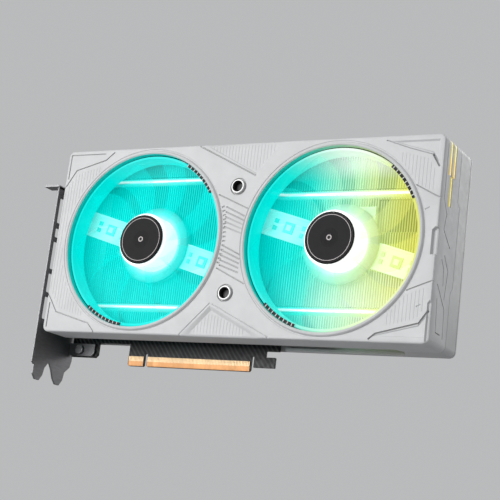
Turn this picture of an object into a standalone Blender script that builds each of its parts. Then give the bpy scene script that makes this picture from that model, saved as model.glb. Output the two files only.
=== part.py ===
"""Two-slot graphics card with two lit fans, modelled as it is built.

The card stands upright as it sits in an upright test bench: +Z runs up from the edge connector,
X runs along the card with the slot bracket at the -X end, and the fans face -Y.
Sizes below are card coordinates in millimetres: x from the cover's left edge, y from the cover's
front face backwards, z from the cover's lower edge upwards. ORIGIN is the point of the card that
becomes the scene's origin, the middle of the edge connector's lower edge.
"""
import math

import bmesh
import bpy
from mathutils import Vector

MM = 0.001
GAP = 0.3
TURN = 2.0 * math.pi

# Cover
COVER_L = 246.5
COVER_H = 113.0
COVER_D = 42.0
WALL = 2.0
FACE = 3.0
SKIRT = 20.0
END_SKIRT = 25.0
END_X = 222.0
CORNER = 3.0
ACCENT_BARS = ((10.2, (94.0, 109.0)), (16.0, (94.0, 109.0)), (13.1, (77.0, 92.0)))
ACCENT_W = 1.6
CARRIER_T = 1.2
POST_X = (236.5, 245.5)
POST_Y0 = 30.0
POST_H = 9.0

# Fans
FAN_Z = 56.5
FANS = {"left": 62.2, "right": 184.6}
OPENING_R = 52.3
RIM_R = 54.4
RIM_PROUD = 1.2
RING_R = 51.0
RING_T = 1.6
RING_Y = (4.0, 13.0)
HUB_R = 16.2
HUB_WALL = 1.3
HUB_Y = (1.0, 14.6)
HUB_FACE = 1.6
CAP_R = 14.7
CAP_Y = (-0.4, 0.7)
SHAFT_R = 1.4
BEARING_R = 3.0
TUBE_R = 4.5
STATOR_R = 13.2
MAGNET_T = 0.9
BLADES = 9
BLADE_T = 1.0
BLADE_Y = (3.2, 12.6)
LIGHT_R = 23.0
LIGHT_Y = (14.1, 15.5)
STRAP_W = 15.0
STRAP_TILT = math.radians(-16.4)
STRAP_REACH = 56.0
MOUNT_Y = (15.8, 17.4)
MOUNT_R = 17.5

# Shroud screws, in raised eyelets between the fans
EYELET_X = 123.8
EYELET_Z = {"upper": 87.0, "lower": 25.0}
EYELET_R = 4.6
EYELET_Y = (-1.0, 8.7)
EYELET_SEAT = 4.0
BRACE_W = 9.0
BRACE_Y = (11.0, 12.2)
BRACE_Z = (18.0, 94.0)

# Heatsink
FIN_X = (24.0, 232.0)
FIN_Y = (18.2, 30.0)
FIN_Z = (4.0, 109.0)
FIN_T = 0.8
FIN_STEPS = 28
SPINE_T = 1.0
PIPE_R = 2.7
PIPE_FRONT_Y = 21.2
PIPE_BACK_Y = 27.4
PIPE_BEND_X = 21.0
PIPE_BEND_STEPS = 10
PIPE_FRONT_END = 228.0
PIPE_BACK_END = 140.0
PIPES = {"upper": (87.0, 68.0), "lower": (20.0, 38.0)}
PIPE_MIDDLE_Z = 53.0
BASE_X = (42.0, 130.0)
BASE_Y = (30.4, 32.9)
BASE_Z = (10.0, 96.0)
SOCKET_RELIEF = ((146.5, 175.5), (93.0, 112.0))

# Circuit board
BOARD_Y = (35.5, 37.1)
BOARD_L = 178.0
BOARD_TOP = 104.0
TONGUE_X = 40.6
TONGUE_L = 85.2
KEY_X = 11.65
KEY_W = 1.9
TONGUE_Z = -13.2
GPU_X = 85.0
GPU_Z = 52.0
GPU_SCREW = 28.0
GPU_HALF = 20.0
DIE_HALF = (10.0, 8.0)
MEMORY_X = {"left": 50.0, "right": 120.0}
MEMORY_Z = (66.0, 38.0)
MEMORY_HALF = (6.0, 7.0)
PAD_HALF_W = 6.5
PAD_Z = (31.0, 73.0)
CHOKE_X = (136.0, 145.0)
CHOKE_Z = (24.0, 38.0, 52.0, 66.0)
HEADER = ((160.0, 170.0), (24.0, 29.0))
TALL_Y = (30.8, 35.2)
CHIP_Y = (34.2, 35.2)
PAD_Y = (33.2, 33.9)
POWER_X = (150.0, 172.0)
POWER_Y = (24.4, 35.2)
POWER_Z = (94.0, 108.0)
POWER_WALL = 1.6

# Rear plate and slot bracket
PLATE_Y = (40.5, 42.0)
PLATE_X0 = 0.5
PLATE_SCREW_X = (22.0, 240.2)
WINDOW_HALF = 34.0
VENTS = 6
VENT_X = 190.0
VENT_PITCH = 7.5
VENT_W = 4.0
VENT_Z = (30.0, 74.0)
BRACKET_X = (-4.6, -3.4)
BRACKET_Y = (-0.5, 38.0)
BRACKET_TOP = 91.7
BRACKET_TIP = -28.5
TAB_L = 10.7
FLANGE_X = 15.5
FLANGE_Z = (-8.6, -1.0)
FLANGE_SCREW = (4.7, -4.8)
FLANGE_T = 1.2
NOTCH_Y = (9.5, 28.5)
NOTCH_W = 4.4
NOTCH_DEPTH = 5.2
GRILLE_Y = (2.2, 17.4)
GRILLE_Z = ((8.0, 22.0), (24.5, 36.5), (39.0, 56.5), (59.0, 65.0), (68.0, 84.0))
SOCKETS = {
    "hdmi_socket": (14.0, 7.6),
    "display_socket_1": (34.0, 8.1),
    "display_socket_2": (54.0, 8.1),
    "display_socket_3": (74.0, 8.1),
}
SOCKET_X = (-5.2, 13.0)
SOCKET_MOUTH_X = 7.0
SOCKET_Y = (28.9, 35.2)
SOCKET_WALL = 0.7

ORIGIN = Vector((TONGUE_X + TONGUE_L / 2, sum(BOARD_Y) / 2, TONGUE_Z))

# Finishes: colour, roughness, metallic
COVER_GREY = ((0.72, 0.73, 0.74, 1.0), 0.45, 0.0)
YELLOW = ((0.90, 0.65, 0.08, 1.0), 0.35, 0.0)
CLEAR_CYAN = ((0.05, 0.80, 0.75, 1.0), 0.20, 0.0)
DARK_CAP = ((0.03, 0.03, 0.03, 1.0), 0.40, 0.0)
DARK_PLASTIC = ((0.02, 0.02, 0.02, 1.0), 0.50, 0.0)
WHITE_PLASTIC = ((0.80, 0.82, 0.82, 1.0), 0.40, 0.0)
STEEL = ((0.55, 0.55, 0.56, 1.0), 0.35, 1.0)
DARK_STEEL = ((0.16, 0.16, 0.17, 1.0), 0.40, 1.0)
BRASS = ((0.70, 0.50, 0.22, 1.0), 0.30, 1.0)
COPPER = ((0.72, 0.38, 0.22, 1.0), 0.30, 1.0)
NICKEL = ((0.66, 0.64, 0.60, 1.0), 0.28, 1.0)
ALUMINIUM = ((0.62, 0.63, 0.64, 1.0), 0.35, 1.0)
BOARD_BLACK = ((0.02, 0.02, 0.022, 1.0), 0.45, 0.0)
GOLD = ((0.83, 0.58, 0.28, 1.0), 0.30, 1.0)
SILICON = ((0.25, 0.26, 0.30, 1.0), 0.15, 0.0)
PAD_GREY = ((0.45, 0.45, 0.50, 1.0), 0.80, 0.0)


def clear_scene():
    for old in list(bpy.data.objects):
        bpy.data.objects.remove(old, do_unlink=True)


def finish_material(name, finish):
    colour, roughness, metallic = finish
    material = bpy.data.materials.new(name)
    material.use_nodes = True
    shader = material.node_tree.nodes["Principled BSDF"]
    shader.inputs["Base Color"].default_value = colour
    shader.inputs["Roughness"].default_value = roughness
    shader.inputs["Metallic"].default_value = metallic
    return material


def place(name, shape, finish, at=None, smooth=False):
    """Turn a bmesh in card coordinates into a named object whose origin is the card point at."""
    at = Vector(at) if at else ORIGIN
    bmesh.ops.recalc_face_normals(shape, faces=shape.faces)
    for vertex in shape.verts:
        vertex.co = (vertex.co - at) * MM
    mesh = bpy.data.meshes.new(name)
    shape.to_mesh(mesh)
    shape.free()
    if smooth:
        mesh.shade_smooth()
        mesh.set_sharp_from_angle(angle=math.radians(35))
    body = bpy.data.objects.new(name, mesh)
    body.location = (at - ORIGIN) * MM
    bpy.context.collection.objects.link(body)
    if finish:
        mesh.materials.append(finish_material(name, finish))
    return body


def combine(body, shape, operation):
    """Cut a shape out of a body, or join it on, with a Boolean modifier."""
    tool = place(f"{body.name}_{operation.lower()}_{len(body.modifiers)}", shape, None)
    tool.hide_render = True
    tool.display_type = "WIRE"
    modifier = body.modifiers.new(operation.lower(), "BOOLEAN")
    modifier.operation = operation
    modifier.solver = "EXACT"
    modifier.object = tool


def cut(body, shape):
    combine(body, shape, "DIFFERENCE")


def join(body, shape):
    combine(body, shape, "UNION")


def prism(shape, outline, span, axis="Y"):
    """Extrude a closed outline along an axis; the outline holds the other two coordinates in order."""
    order = {
        "X": lambda a, b, c: (c, a, b),
        "Y": lambda a, b, c: (a, c, b),
        "Z": lambda a, b, c: (a, b, c),
    }[axis]
    near = [shape.verts.new(order(a, b, span[0])) for a, b in outline]
    far = [shape.verts.new(order(a, b, span[1])) for a, b in outline]
    shape.faces.new(near)
    shape.faces.new(far)
    for i in range(len(outline)):
        j = (i + 1) % len(outline)
        shape.faces.new((near[i], near[j], far[j], far[i]))
    return shape


def box(shape, x, y, z):
    return prism(shape, [(x[0], z[0]), (x[1], z[0]), (x[1], z[1]), (x[0], z[1])], y)


def turned(shape, profile, centre, steps=48, phase=0.0):
    """Spin a closed profile of (radius, y) points about the line through centre along Y.

    Phase turns the facets by a part of a step, so that a cutter's edges don't meet those of the part it cuts.
    """
    rings = []
    for radius, y in profile:
        if radius < 1e-6:
            rings.append([shape.verts.new((centre[0], y, centre[1]))])
            continue
        rings.append([
            shape.verts.new((centre[0] + radius * math.cos(TURN * (i + phase) / steps), y,
                             centre[1] + radius * math.sin(TURN * (i + phase) / steps)))
            for i in range(steps)
        ])
    for k, ring in enumerate(rings):
        after = rings[(k + 1) % len(rings)]
        if len(ring) == 1 and len(after) == 1:
            continue
        for i in range(steps):
            j = (i + 1) % steps
            corners = [ring[i % len(ring)], ring[j % len(ring)], after[j % len(after)], after[i % len(after)]]
            unique = list(dict.fromkeys(corners))
            shape.faces.new(unique)
    return shape


def rod(shape, centre, radius, y, steps=24, phase=0.0):
    return turned(shape, [(0, y[0]), (radius, y[0]), (radius, y[1]), (0, y[1])], centre, steps, phase)


def sleeve(shape, centre, inner, outer, y, steps=48):
    return turned(shape, [(inner, y[0]), (outer, y[0]), (outer, y[1]), (inner, y[1])], centre, steps)


def screw(name, centre, finish, head_y, tip, head_r, shank_r):
    """A flat-headed screw along Y: head_y runs from the head's outer face to its seat."""
    profile = [(0, head_y[0]), (head_r, head_y[0]), (head_r, head_y[1]),
               (shank_r, head_y[1]), (shank_r, tip), (0, tip)]
    place(name, turned(bmesh.new(), profile, centre, 12), finish, smooth=True)


def cover_outline(inset=0.0):
    """The cover's rectangle with its corners cut off at 45 degrees."""
    left, right, low, high = inset, COVER_L - inset, inset, COVER_H - inset
    c = CORNER - inset
    return [(left + c, low), (right - c, low), (right, low + c), (right, high - c),
            (right - c, high), (left + c, high), (left, high - c), (left, low + c)]


def accent_bars(shape, x, grow=0.0):
    """Two short bars at the top of the end face, and a third one below, between them."""
    half = ACCENT_W / 2 + grow
    for y, z in ACCENT_BARS:
        box(shape, x, (y - half, y + half), (z[0] - grow, z[1] + grow))
    return shape


def build_cover():
    shroud = place("front_shroud", prism(bmesh.new(), cover_outline(), (0.0, END_SKIRT)), COVER_GREY)
    cut(shroud, prism(bmesh.new(), cover_outline(WALL), (FACE, END_SKIRT + 5.0)))
    cut(shroud, box(bmesh.new(), (-5.0, END_X), (SKIRT, END_SKIRT + 5.0), (-5.0, COVER_H + 5.0)))
    rims = bmesh.new()
    openings = bmesh.new()
    for x in FANS.values():
        sleeve(rims, (x, FAN_Z), OPENING_R - 1.0, RIM_R, (-RIM_PROUD, 1.0), 60)
        rod(openings, (x, FAN_Z), OPENING_R, (-5.0, FACE + 2.0), 60, 0.5)
    join(shroud, rims)
    cut(shroud, openings)
    bosses = bmesh.new()
    recesses = bmesh.new()
    for z in EYELET_Z.values():
        rod(bosses, (EYELET_X, z), EYELET_R, EYELET_Y, 20)
        steps = [(0, -3.0), (3.1, -3.0), (3.1, EYELET_SEAT), (1.8, EYELET_SEAT), (1.8, 12.0), (0, 12.0)]
        turned(recesses, steps, (EYELET_X, z), 20, 0.5)
    join(shroud, bosses)
    cut(shroud, recesses)
    cut(shroud, accent_bars(bmesh.new(), (COVER_L - WALL - 2.0, COVER_L + 2.0), GAP))

    for name, z in EYELET_Z.items():
        head_y = (EYELET_SEAT - GAP - 1.5, EYELET_SEAT - GAP)
        screw(f"shroud_screw_{name}", (EYELET_X, z), DARK_STEEL, head_y, 14.5, 2.7, 1.4)

    carrier_x = (COVER_L - WALL - GAP - CARRIER_T, COVER_L - WALL - GAP)
    accent = place("accent_light", box(bmesh.new(), carrier_x, (8.0, 18.2), (75.0, 109.5)), YELLOW)
    join(accent, accent_bars(bmesh.new(), (carrier_x[0] + 0.4, COVER_L)))


def build_end_frame():
    span = (END_SKIRT + GAP, PLATE_Y[0] - GAP)
    frame = place("end_frame", prism(bmesh.new(), cover_outline(), span), COVER_GREY)
    cut(frame, prism(bmesh.new(), cover_outline(WALL), (0.0, COVER_D)))
    cut(frame, box(bmesh.new(), (-5.0, END_X), (0.0, BOARD_Y[1] + GAP), (-5.0, COVER_H + 5.0)))
    cut(frame, box(bmesh.new(), (-5.0, 146.0), (0.0, COVER_D), (-5.0, COVER_H - 20.0)))
    cut(frame, box(bmesh.new(), (-5.0, 4.0), (0.0, COVER_D), (-5.0, COVER_H + 5.0)))
    posts = bmesh.new()
    holes = bmesh.new()
    for x, z in plate_screw_places()[2:]:
        box(posts, POST_X, (POST_Y0, span[1]), (z - POST_H / 2, z + POST_H / 2))
        rod(holes, (x, z), 1.7, (POST_Y0 + 1.5, COVER_D), 12, 0.3)
    join(frame, posts)
    cut(frame, holes)


def blade(shape, centre, start):
    """One swept blade: its chord climbs from the front edge to the back edge as it turns."""
    spans, chords = 3, 3
    inner, outer = HUB_R - 0.5, RING_R - RING_T + 0.4
    skins = []
    for side in (-0.5, 0.5):
        grid = []
        for i in range(spans + 1):
            s = i / spans
            radius = inner + (outer - inner) * s
            lead = start + math.radians(26.0) * s * s
            sweep = math.radians(40.0 - 14.0 * s)
            row = []
            for j in range(chords + 1):
                t = j / chords
                angle = lead + sweep * t
                y = BLADE_Y[0] + (BLADE_Y[1] - BLADE_Y[0]) * (t + 0.25 * t * (1.0 - t)) + side * BLADE_T
                row.append(shape.verts.new((centre[0] + radius * math.cos(angle), y,
                                            centre[1] + radius * math.sin(angle))))
            grid.append(row)
        skins.append(grid)
    front, back = skins
    for i in range(spans):
        for j in range(chords):
            for grid in skins:
                shape.faces.new((grid[i][j], grid[i + 1][j], grid[i + 1][j + 1], grid[i][j + 1]))
    edge = [(i, 0) for i in range(spans)] + [(spans, j) for j in range(chords)]
    edge += [(i, chords) for i in range(spans, 0, -1)] + [(0, j) for j in range(chords, 0, -1)]
    for k, (i, j) in enumerate(edge):
        m, n = edge[(k + 1) % len(edge)]
        shape.faces.new((front[i][j], front[m][n], back[m][n], back[i][j]))


def build_fan(side, x):
    centre = (x, FAN_Z)
    axis = (x, 0.0, FAN_Z)
    cup_r = HUB_R - HUB_WALL
    inside = HUB_Y[0] + HUB_FACE
    hub = [
        (0, HUB_Y[0]), (HUB_R - 1.0, HUB_Y[0]), (HUB_R, HUB_Y[0] + 1.0), (HUB_R, HUB_Y[1]), (cup_r, HUB_Y[1]),
        (cup_r, inside), (3.2, inside), (3.2, 5.2), (SHAFT_R + GAP, 5.2), (SHAFT_R + GAP, inside),
        (0, inside),
    ]
    rotor = place(f"{side}_fan_rotor", turned(bmesh.new(), hub, centre, 30), CLEAR_CYAN, axis, smooth=True)
    blades = bmesh.new()
    for k in range(BLADES):
        blade(blades, centre, TURN * k / BLADES)
    join(rotor, blades)
    join(rotor, sleeve(bmesh.new(), centre, RING_R - RING_T, RING_R, RING_Y, 40))

    cap = [(0, CAP_Y[0]), (CAP_R - 0.8, CAP_Y[0]), (CAP_R, CAP_Y[0] + 0.5), (CAP_R, CAP_Y[1]), (0, CAP_Y[1])]
    place(f"{side}_hub_cap", turned(bmesh.new(), cap, centre, 32), DARK_CAP, axis, smooth=True)
    shaft_y = (inside + GAP, MOUNT_Y[0] - GAP)
    place(f"{side}_fan_shaft", rod(bmesh.new(), centre, SHAFT_R, shaft_y, 12), STEEL, axis, smooth=True)
    magnet_r = cup_r - GAP
    magnet = sleeve(bmesh.new(), centre, magnet_r - MAGNET_T, magnet_r, (5.0, 14.0), 24)
    place(f"{side}_rotor_magnet", magnet, DARK_STEEL, axis, smooth=True)

    bearing = sleeve(bmesh.new(), centre, SHAFT_R + GAP, BEARING_R, (6.0, 15.2), 16)
    place(f"{side}_fan_bearing", bearing, BRASS, smooth=True)
    stator = sleeve(bmesh.new(), centre, TUBE_R + GAP, STATOR_R, (6.5, 13.0), 24)
    place(f"{side}_motor_stator", stator, COPPER, smooth=True)
    light = sleeve(bmesh.new(), centre, HUB_R + 0.8, LIGHT_R, LIGHT_Y, 30)
    place(f"{side}_light_ring", light, WHITE_PLASTIC, smooth=True)

    bore = BEARING_R + GAP
    base = [(0, MOUNT_Y[0]), (bore, MOUNT_Y[0]), (bore, 6.0), (TUBE_R, 6.0), (TUBE_R, MOUNT_Y[0]),
            (MOUNT_R, MOUNT_Y[0]), (MOUNT_R, MOUNT_Y[1]), (0, MOUNT_Y[1])]
    mount = place(f"{side}_fan_mount", turned(bmesh.new(), base, centre, 24), WHITE_PLASTIC)
    straps = bmesh.new()
    posts = bmesh.new()
    along = Vector((math.cos(STRAP_TILT), math.sin(STRAP_TILT)))
    across = Vector((-along.y, along.x)) * STRAP_W / 2
    middle = Vector(centre)
    for way in (-1.0, 1.0):
        near, far = middle + along * way * 14.0, middle + along * way * STRAP_REACH
        corners = [near - across, far - across * 0.7, far + across * 0.7, near + across]
        prism(straps, [tuple(corner) for corner in corners], (MOUNT_Y[0], MOUNT_Y[1]))
        rod(posts, tuple(middle + along * way * (STRAP_REACH - 1.5)), 2.4, (FACE + GAP, MOUNT_Y[1] - 0.4), 16)
    join(mount, straps)
    join(mount, posts)


def fin_outline():
    """A comb seen from above: a spine along the back and one tooth for each fin."""
    pitch = (FIN_X[1] - FIN_X[0] - FIN_T) / FIN_STEPS
    spine_y = FIN_Y[1] - SPINE_T
    points = [(FIN_X[0], FIN_Y[1])]
    for k in range(FIN_STEPS + 1):
        x = FIN_X[0] + pitch * k
        if k:
            points.append((x, spine_y))
        points += [(x, FIN_Y[0]), (x + FIN_T, FIN_Y[0])]
        if k < FIN_STEPS:
            points.append((x + FIN_T, spine_y))
    points.append((FIN_X[1], FIN_Y[1]))
    return points


def pipe(name, points):
    curve = bpy.data.curves.new(name, "CURVE")
    curve.dimensions = "3D"
    curve.bevel_depth = PIPE_R * MM
    curve.bevel_resolution = 2
    curve.use_fill_caps = True
    spline = curve.splines.new("POLY")
    spline.points.add(len(points) - 1)
    for point, place_mm in zip(spline.points, points):
        point.co = (*((Vector(place_mm) - ORIGIN) * MM), 1.0)
    curve.materials.append(finish_material(name, COPPER))
    body = bpy.data.objects.new(name, curve)
    bpy.context.collection.objects.link(body)


def build_heatsink():
    fins = place("fin_stack", prism(bmesh.new(), fin_outline(), FIN_Z, axis="Z"), ALUMINIUM)
    room = PIPE_R + GAP
    grooves = bmesh.new()
    front_y = (FIN_Y[0] - 2.0, PIPE_FRONT_Y + room)
    back_y = (PIPE_BACK_Y - room, FIN_Y[1] + 2.0)
    for z in [front for front, _ in PIPES.values()]:
        box(grooves, (0.0, 240.0), front_y, (z - room, z + room))
    for z in [back for _, back in PIPES.values()] + [PIPE_MIDDLE_Z]:
        box(grooves, (0.0, PIPE_BACK_END + 3.0), back_y, (z - room, z + room))
    cut(fins, grooves)
    relief_x, relief_z = SOCKET_RELIEF
    cut(fins, box(bmesh.new(), relief_x, (FIN_Y[0] - 2.0, FIN_Y[1] + 2.0), relief_z))

    for name, (front_z, back_z) in PIPES.items():
        front = Vector((PIPE_BEND_X, PIPE_FRONT_Y, front_z))
        back = Vector((PIPE_BEND_X, PIPE_BACK_Y, back_z))
        centre, arm = (front + back) / 2, (front - back) / 2
        bend = []
        for k in range(PIPE_BEND_STEPS + 1):
            angle = math.pi * k / PIPE_BEND_STEPS
            bend.append(centre + arm * math.cos(angle) - Vector((arm.length * math.sin(angle), 0, 0)))
        start = Vector((PIPE_FRONT_END, PIPE_FRONT_Y, front_z))
        end = Vector((PIPE_BACK_END, PIPE_BACK_Y, back_z))
        pipe(f"heat_pipe_{name}", [start, *bend, end])
    middle_x = (PIPE_BEND_X + 4.0, PIPE_BACK_END)
    pipe("heat_pipe_middle", [(x, PIPE_BACK_Y, PIPE_MIDDLE_Z) for x in middle_x])

    plate = place("heatsink_base", box(bmesh.new(), BASE_X, BASE_Y, BASE_Z), NICKEL)
    threads = bmesh.new()
    for x, z in gpu_screw_places():
        rod(threads, (x, z), 1.5, (BASE_Y[0] + 0.6, BASE_Y[1] + 2.0), 12, 0.3)
    cut(plate, threads)

    bar = box(bmesh.new(), (EYELET_X - BRACE_W / 2, EYELET_X + BRACE_W / 2), BRACE_Y, BRACE_Z)
    bracket = place("cover_bracket", bar, DARK_STEEL)
    posts = bmesh.new()
    holes = bmesh.new()
    for z in EYELET_Z.values():
        rod(posts, (EYELET_X, z), 2.8, (EYELET_Y[1] + GAP, FIN_Y[0] - GAP), 14)
        rod(holes, (EYELET_X, z), 1.7, (5.0, 15.5), 14, 0.5)
    join(bracket, posts)
    cut(bracket, holes)


def gpu_screw_places():
    return [(GPU_X + sx * GPU_SCREW, GPU_Z + sz * GPU_SCREW) for sz in (1, -1) for sx in (-1, 1)]


def plate_screw_places():
    left, right = PLATE_SCREW_X
    return [(left, 97.0), (left, 8.0), (right, COVER_H - 5.5), (right, 5.5)]


def board_outline():
    """The board with its edge tongue, key notch and retention hook along the lower edge."""
    left, key = TONGUE_X, TONGUE_X + KEY_X
    right = TONGUE_X + TONGUE_L
    hook, hook_end = right + 1.6, right + 15.4
    low = TONGUE_Z
    return [
        (-2.5, BOARD_TOP), (-2.5, -9.2), (15.8, -9.2), (17.5, -7.5), (17.5, 0.0), (left, 0.0),
        (left, low + 1.0), (left + 1.0, low), (key - 0.6, low), (key, low + 0.6), (key, -5.5),
        (key + KEY_W, -5.5), (key + KEY_W, low + 0.6), (key + KEY_W + 0.6, low), (right - 1.0, low),
        (right, low + 1.0), (right, -4.3), (hook, -4.3), (hook, -10.6), (hook_end, -10.6), (hook_end, -4.5),
        (hook + 7.4, -4.5), (hook + 7.4, -1.0), (hook_end + 2.0, -1.0), (hook_end + 2.0, 3.0),
        (BOARD_L, 3.0), (BOARD_L, BOARD_TOP),
    ]


def contact_outline():
    left, right = TONGUE_X + 0.6, TONGUE_X + TONGUE_L - 0.6
    key, key_end = TONGUE_X + KEY_X - 0.5, TONGUE_X + KEY_X + KEY_W + 0.5
    low, high, bridge = TONGUE_Z + 0.8, -4.6, -5.2
    return [(left, low), (key, low), (key, bridge), (key_end, bridge), (key_end, low),
            (right, low), (right, high), (left, high)]


def block(name, centre, half, y, finish):
    """A component of the board: a block about centre, with its half sizes along X and Z."""
    x, z = centre
    shape = box(bmesh.new(), (x - half[0], x + half[0]), y, (z - half[1], z + half[1]))
    place(name, shape, finish)


def build_board():
    board = place("circuit_board", prism(bmesh.new(), board_outline(), BOARD_Y), BOARD_BLACK)
    holes = bmesh.new()
    for x, z in gpu_screw_places() + plate_screw_places()[:2] + [FLANGE_SCREW]:
        rod(holes, (x, z), 1.8, (BOARD_Y[0] - 2.0, BOARD_Y[1] + 2.0), 12, 0.3)
    cut(board, holes)

    front = (BOARD_Y[0] - GAP - 0.15, BOARD_Y[0] - GAP)
    rear = (BOARD_Y[1] + GAP, BOARD_Y[1] + GAP + 0.15)
    place("front_contacts", prism(bmesh.new(), contact_outline(), front), GOLD)
    place("rear_contacts", prism(bmesh.new(), contact_outline(), rear), GOLD)

    block("gpu_package", (GPU_X, GPU_Z), (GPU_HALF, GPU_HALF), CHIP_Y, BOARD_BLACK)
    block("gpu_die", (GPU_X, GPU_Z), DIE_HALF, PAD_Y, SILICON)
    chips = [(x, z) for x in MEMORY_X.values() for z in MEMORY_Z]
    for k, centre in enumerate(chips, start=1):
        block(f"memory_chip_{k}", centre, MEMORY_HALF, CHIP_Y, DARK_PLASTIC)
    for name, x in MEMORY_X.items():
        pad_x = (x - PAD_HALF_W, x + PAD_HALF_W)
        place(f"thermal_pad_{name}", box(bmesh.new(), pad_x, PAD_Y, PAD_Z), PAD_GREY)
    choke_half = (CHOKE_X[1] - CHOKE_X[0]) / 2
    for k, z in enumerate(CHOKE_Z, start=1):
        block(f"power_choke_{k}", (sum(CHOKE_X) / 2, z), (choke_half, choke_half), TALL_Y, DARK_STEEL)
    place("fan_header", box(bmesh.new(), HEADER[0], TALL_Y, HEADER[1]), DARK_PLASTIC)

    socket = place("power_socket", box(bmesh.new(), POWER_X, POWER_Y, POWER_Z), DARK_PLASTIC)
    mouth = [(span[0] + POWER_WALL, span[1] - POWER_WALL) for span in (POWER_X, POWER_Y)]
    cut(socket, box(bmesh.new(), *mouth, (POWER_Z[0] + 3.0, POWER_Z[1] + 4.0)))


def build_rear_plate():
    outline = [
        (PLATE_X0, CORNER), (PLATE_X0 + CORNER, 0.0), (COVER_L - CORNER, 0.0), (COVER_L, CORNER),
        (COVER_L, COVER_H - CORNER), (COVER_L - CORNER, COVER_H), (PLATE_X0 + CORNER, COVER_H),
        (PLATE_X0, COVER_H - CORNER),
    ]
    plate = place("backplate", prism(bmesh.new(), outline, PLATE_Y), COVER_GREY)
    spacers = bmesh.new()
    for x, z in plate_screw_places()[:2]:
        rod(spacers, (x, z), 3.6, (BOARD_Y[1] + GAP, PLATE_Y[0] + 0.6), 14)
    join(plate, spacers)
    openings = bmesh.new()
    through = (PLATE_Y[0] - 2.0, PLATE_Y[1] + 2.0)
    window = [(middle - WINDOW_HALF, middle + WINDOW_HALF) for middle in (GPU_X, GPU_Z)]
    box(openings, window[0], through, window[1])
    for k in range(VENTS):
        low = VENT_X + VENT_PITCH * k
        box(openings, (low, low + VENT_W), through, VENT_Z)
    cut(plate, openings)
    recesses = bmesh.new()
    for x, z in plate_screw_places():
        steps = [(0, 30.0), (1.7, 30.0), (1.7, 41.0), (3.1, 41.0), (3.1, 45.0), (0, 45.0)]
        turned(recesses, steps, (x, z), 14, 0.5)
    cut(plate, recesses)

    for k, centre in enumerate(plate_screw_places(), start=1):
        screw(f"backplate_screw_{k}", centre, STEEL, (PLATE_Y[1], PLATE_Y[1] - 0.7), 33.0, 2.8, 1.3)
    for k, centre in enumerate(gpu_screw_places(), start=1):
        screw(f"gpu_screw_{k}", centre, STEEL, (39.8, 38.6), 31.4, 2.6, 1.1)


def build_bracket():
    front, rear = BRACKET_Y
    outline = [
        (front, BRACKET_TOP), (front, -18.5), (1.9, -20.0), (1.9, -25.5), (4.6, BRACKET_TIP),
        (8.8, BRACKET_TIP), (11.4, -25.0), (12.4, -20.5), (15.8, -16.4), (19.0, -20.5), (21.6, -25.5),
        (24.6, BRACKET_TIP), (28.6, BRACKET_TIP), (31.4, -25.0), (32.3, -19.9), (36.8, -16.1),
        (rear, -12.0), (rear, BRACKET_TOP),
    ]
    bracket = place("slot_bracket", prism(bmesh.new(), outline, BRACKET_X, axis="X"), DARK_STEEL)
    tab = box(bmesh.new(), (BRACKET_X[0] - TAB_L, BRACKET_X[1]), BRACKET_Y, (BRACKET_TOP - 1.2, BRACKET_TOP))
    join(bracket, tab)
    flange = [(BRACKET_X[0] + 0.3, FLANGE_Z[0]), (FLANGE_X - 2.0, FLANGE_Z[0]), (FLANGE_X, FLANGE_Z[0] + 2.0),
              (FLANGE_X, FLANGE_Z[1]), (BRACKET_X[0] + 0.3, FLANGE_Z[1])]
    join(bracket, prism(bmesh.new(), flange, (BOARD_Y[0] - GAP - FLANGE_T, BOARD_Y[0] - GAP)))
    openings = bmesh.new()
    through = (BRACKET_X[0] - 1.0, BRACKET_X[1] + 1.0)
    for z in GRILLE_Z:
        box(openings, through, GRILLE_Y, z)
    for z, half in SOCKETS.values():
        hole_y = (SOCKET_Y[0] - GAP, SOCKET_Y[1] + GAP)
        box(openings, through, hole_y, (z - half - GAP, z + half + GAP))
    cut(bracket, openings)
    notches = bmesh.new()
    tab_end = BRACKET_X[0] - TAB_L
    for y in NOTCH_Y:
        notch_y = (y - NOTCH_W / 2, y + NOTCH_W / 2)
        notch_z = (BRACKET_TOP - 3.0, BRACKET_TOP + 2.0)
        box(notches, (tab_end - 5.0, tab_end + NOTCH_DEPTH), notch_y, notch_z)
    rod(notches, FLANGE_SCREW, 1.7, (32.0, BOARD_Y[0] - 0.1), 12, 0.3)
    cut(bracket, notches)

    screw("bracket_screw", FLANGE_SCREW, STEEL, (32.2, 33.7), 38.2, 2.8, 1.3)
    for name, (z, half) in SOCKETS.items():
        shell = place(name, box(bmesh.new(), SOCKET_X, SOCKET_Y, (z - half, z + half)), STEEL)
        mouth_y = (SOCKET_Y[0] + SOCKET_WALL, SOCKET_Y[1] - SOCKET_WALL)
        mouth_z = (z - half + SOCKET_WALL, z + half - SOCKET_WALL)
        cut(shell, box(bmesh.new(), (SOCKET_X[0] - 3.0, SOCKET_MOUTH_X), mouth_y, mouth_z))


def main():
    clear_scene()
    build_cover()
    build_end_frame()
    for side, x in FANS.items():
        build_fan(side, x)
    build_heatsink()
    build_board()
    build_rear_plate()
    build_bracket()


main()
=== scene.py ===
"""Looks of the two-slot graphics card: fine meshes, finishes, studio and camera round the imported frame.

Sizes are card coordinates in millimetres, as in the CAD: x from the cover's left edge, y from the cover's
front face backwards, z from the cover's lower edge upwards. The fans face -Y.
"""
import math
import random

import bmesh
import bpy
from mathutils import Matrix, Vector
from mathutils.geometry import delaunay_2d_cdt


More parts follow.
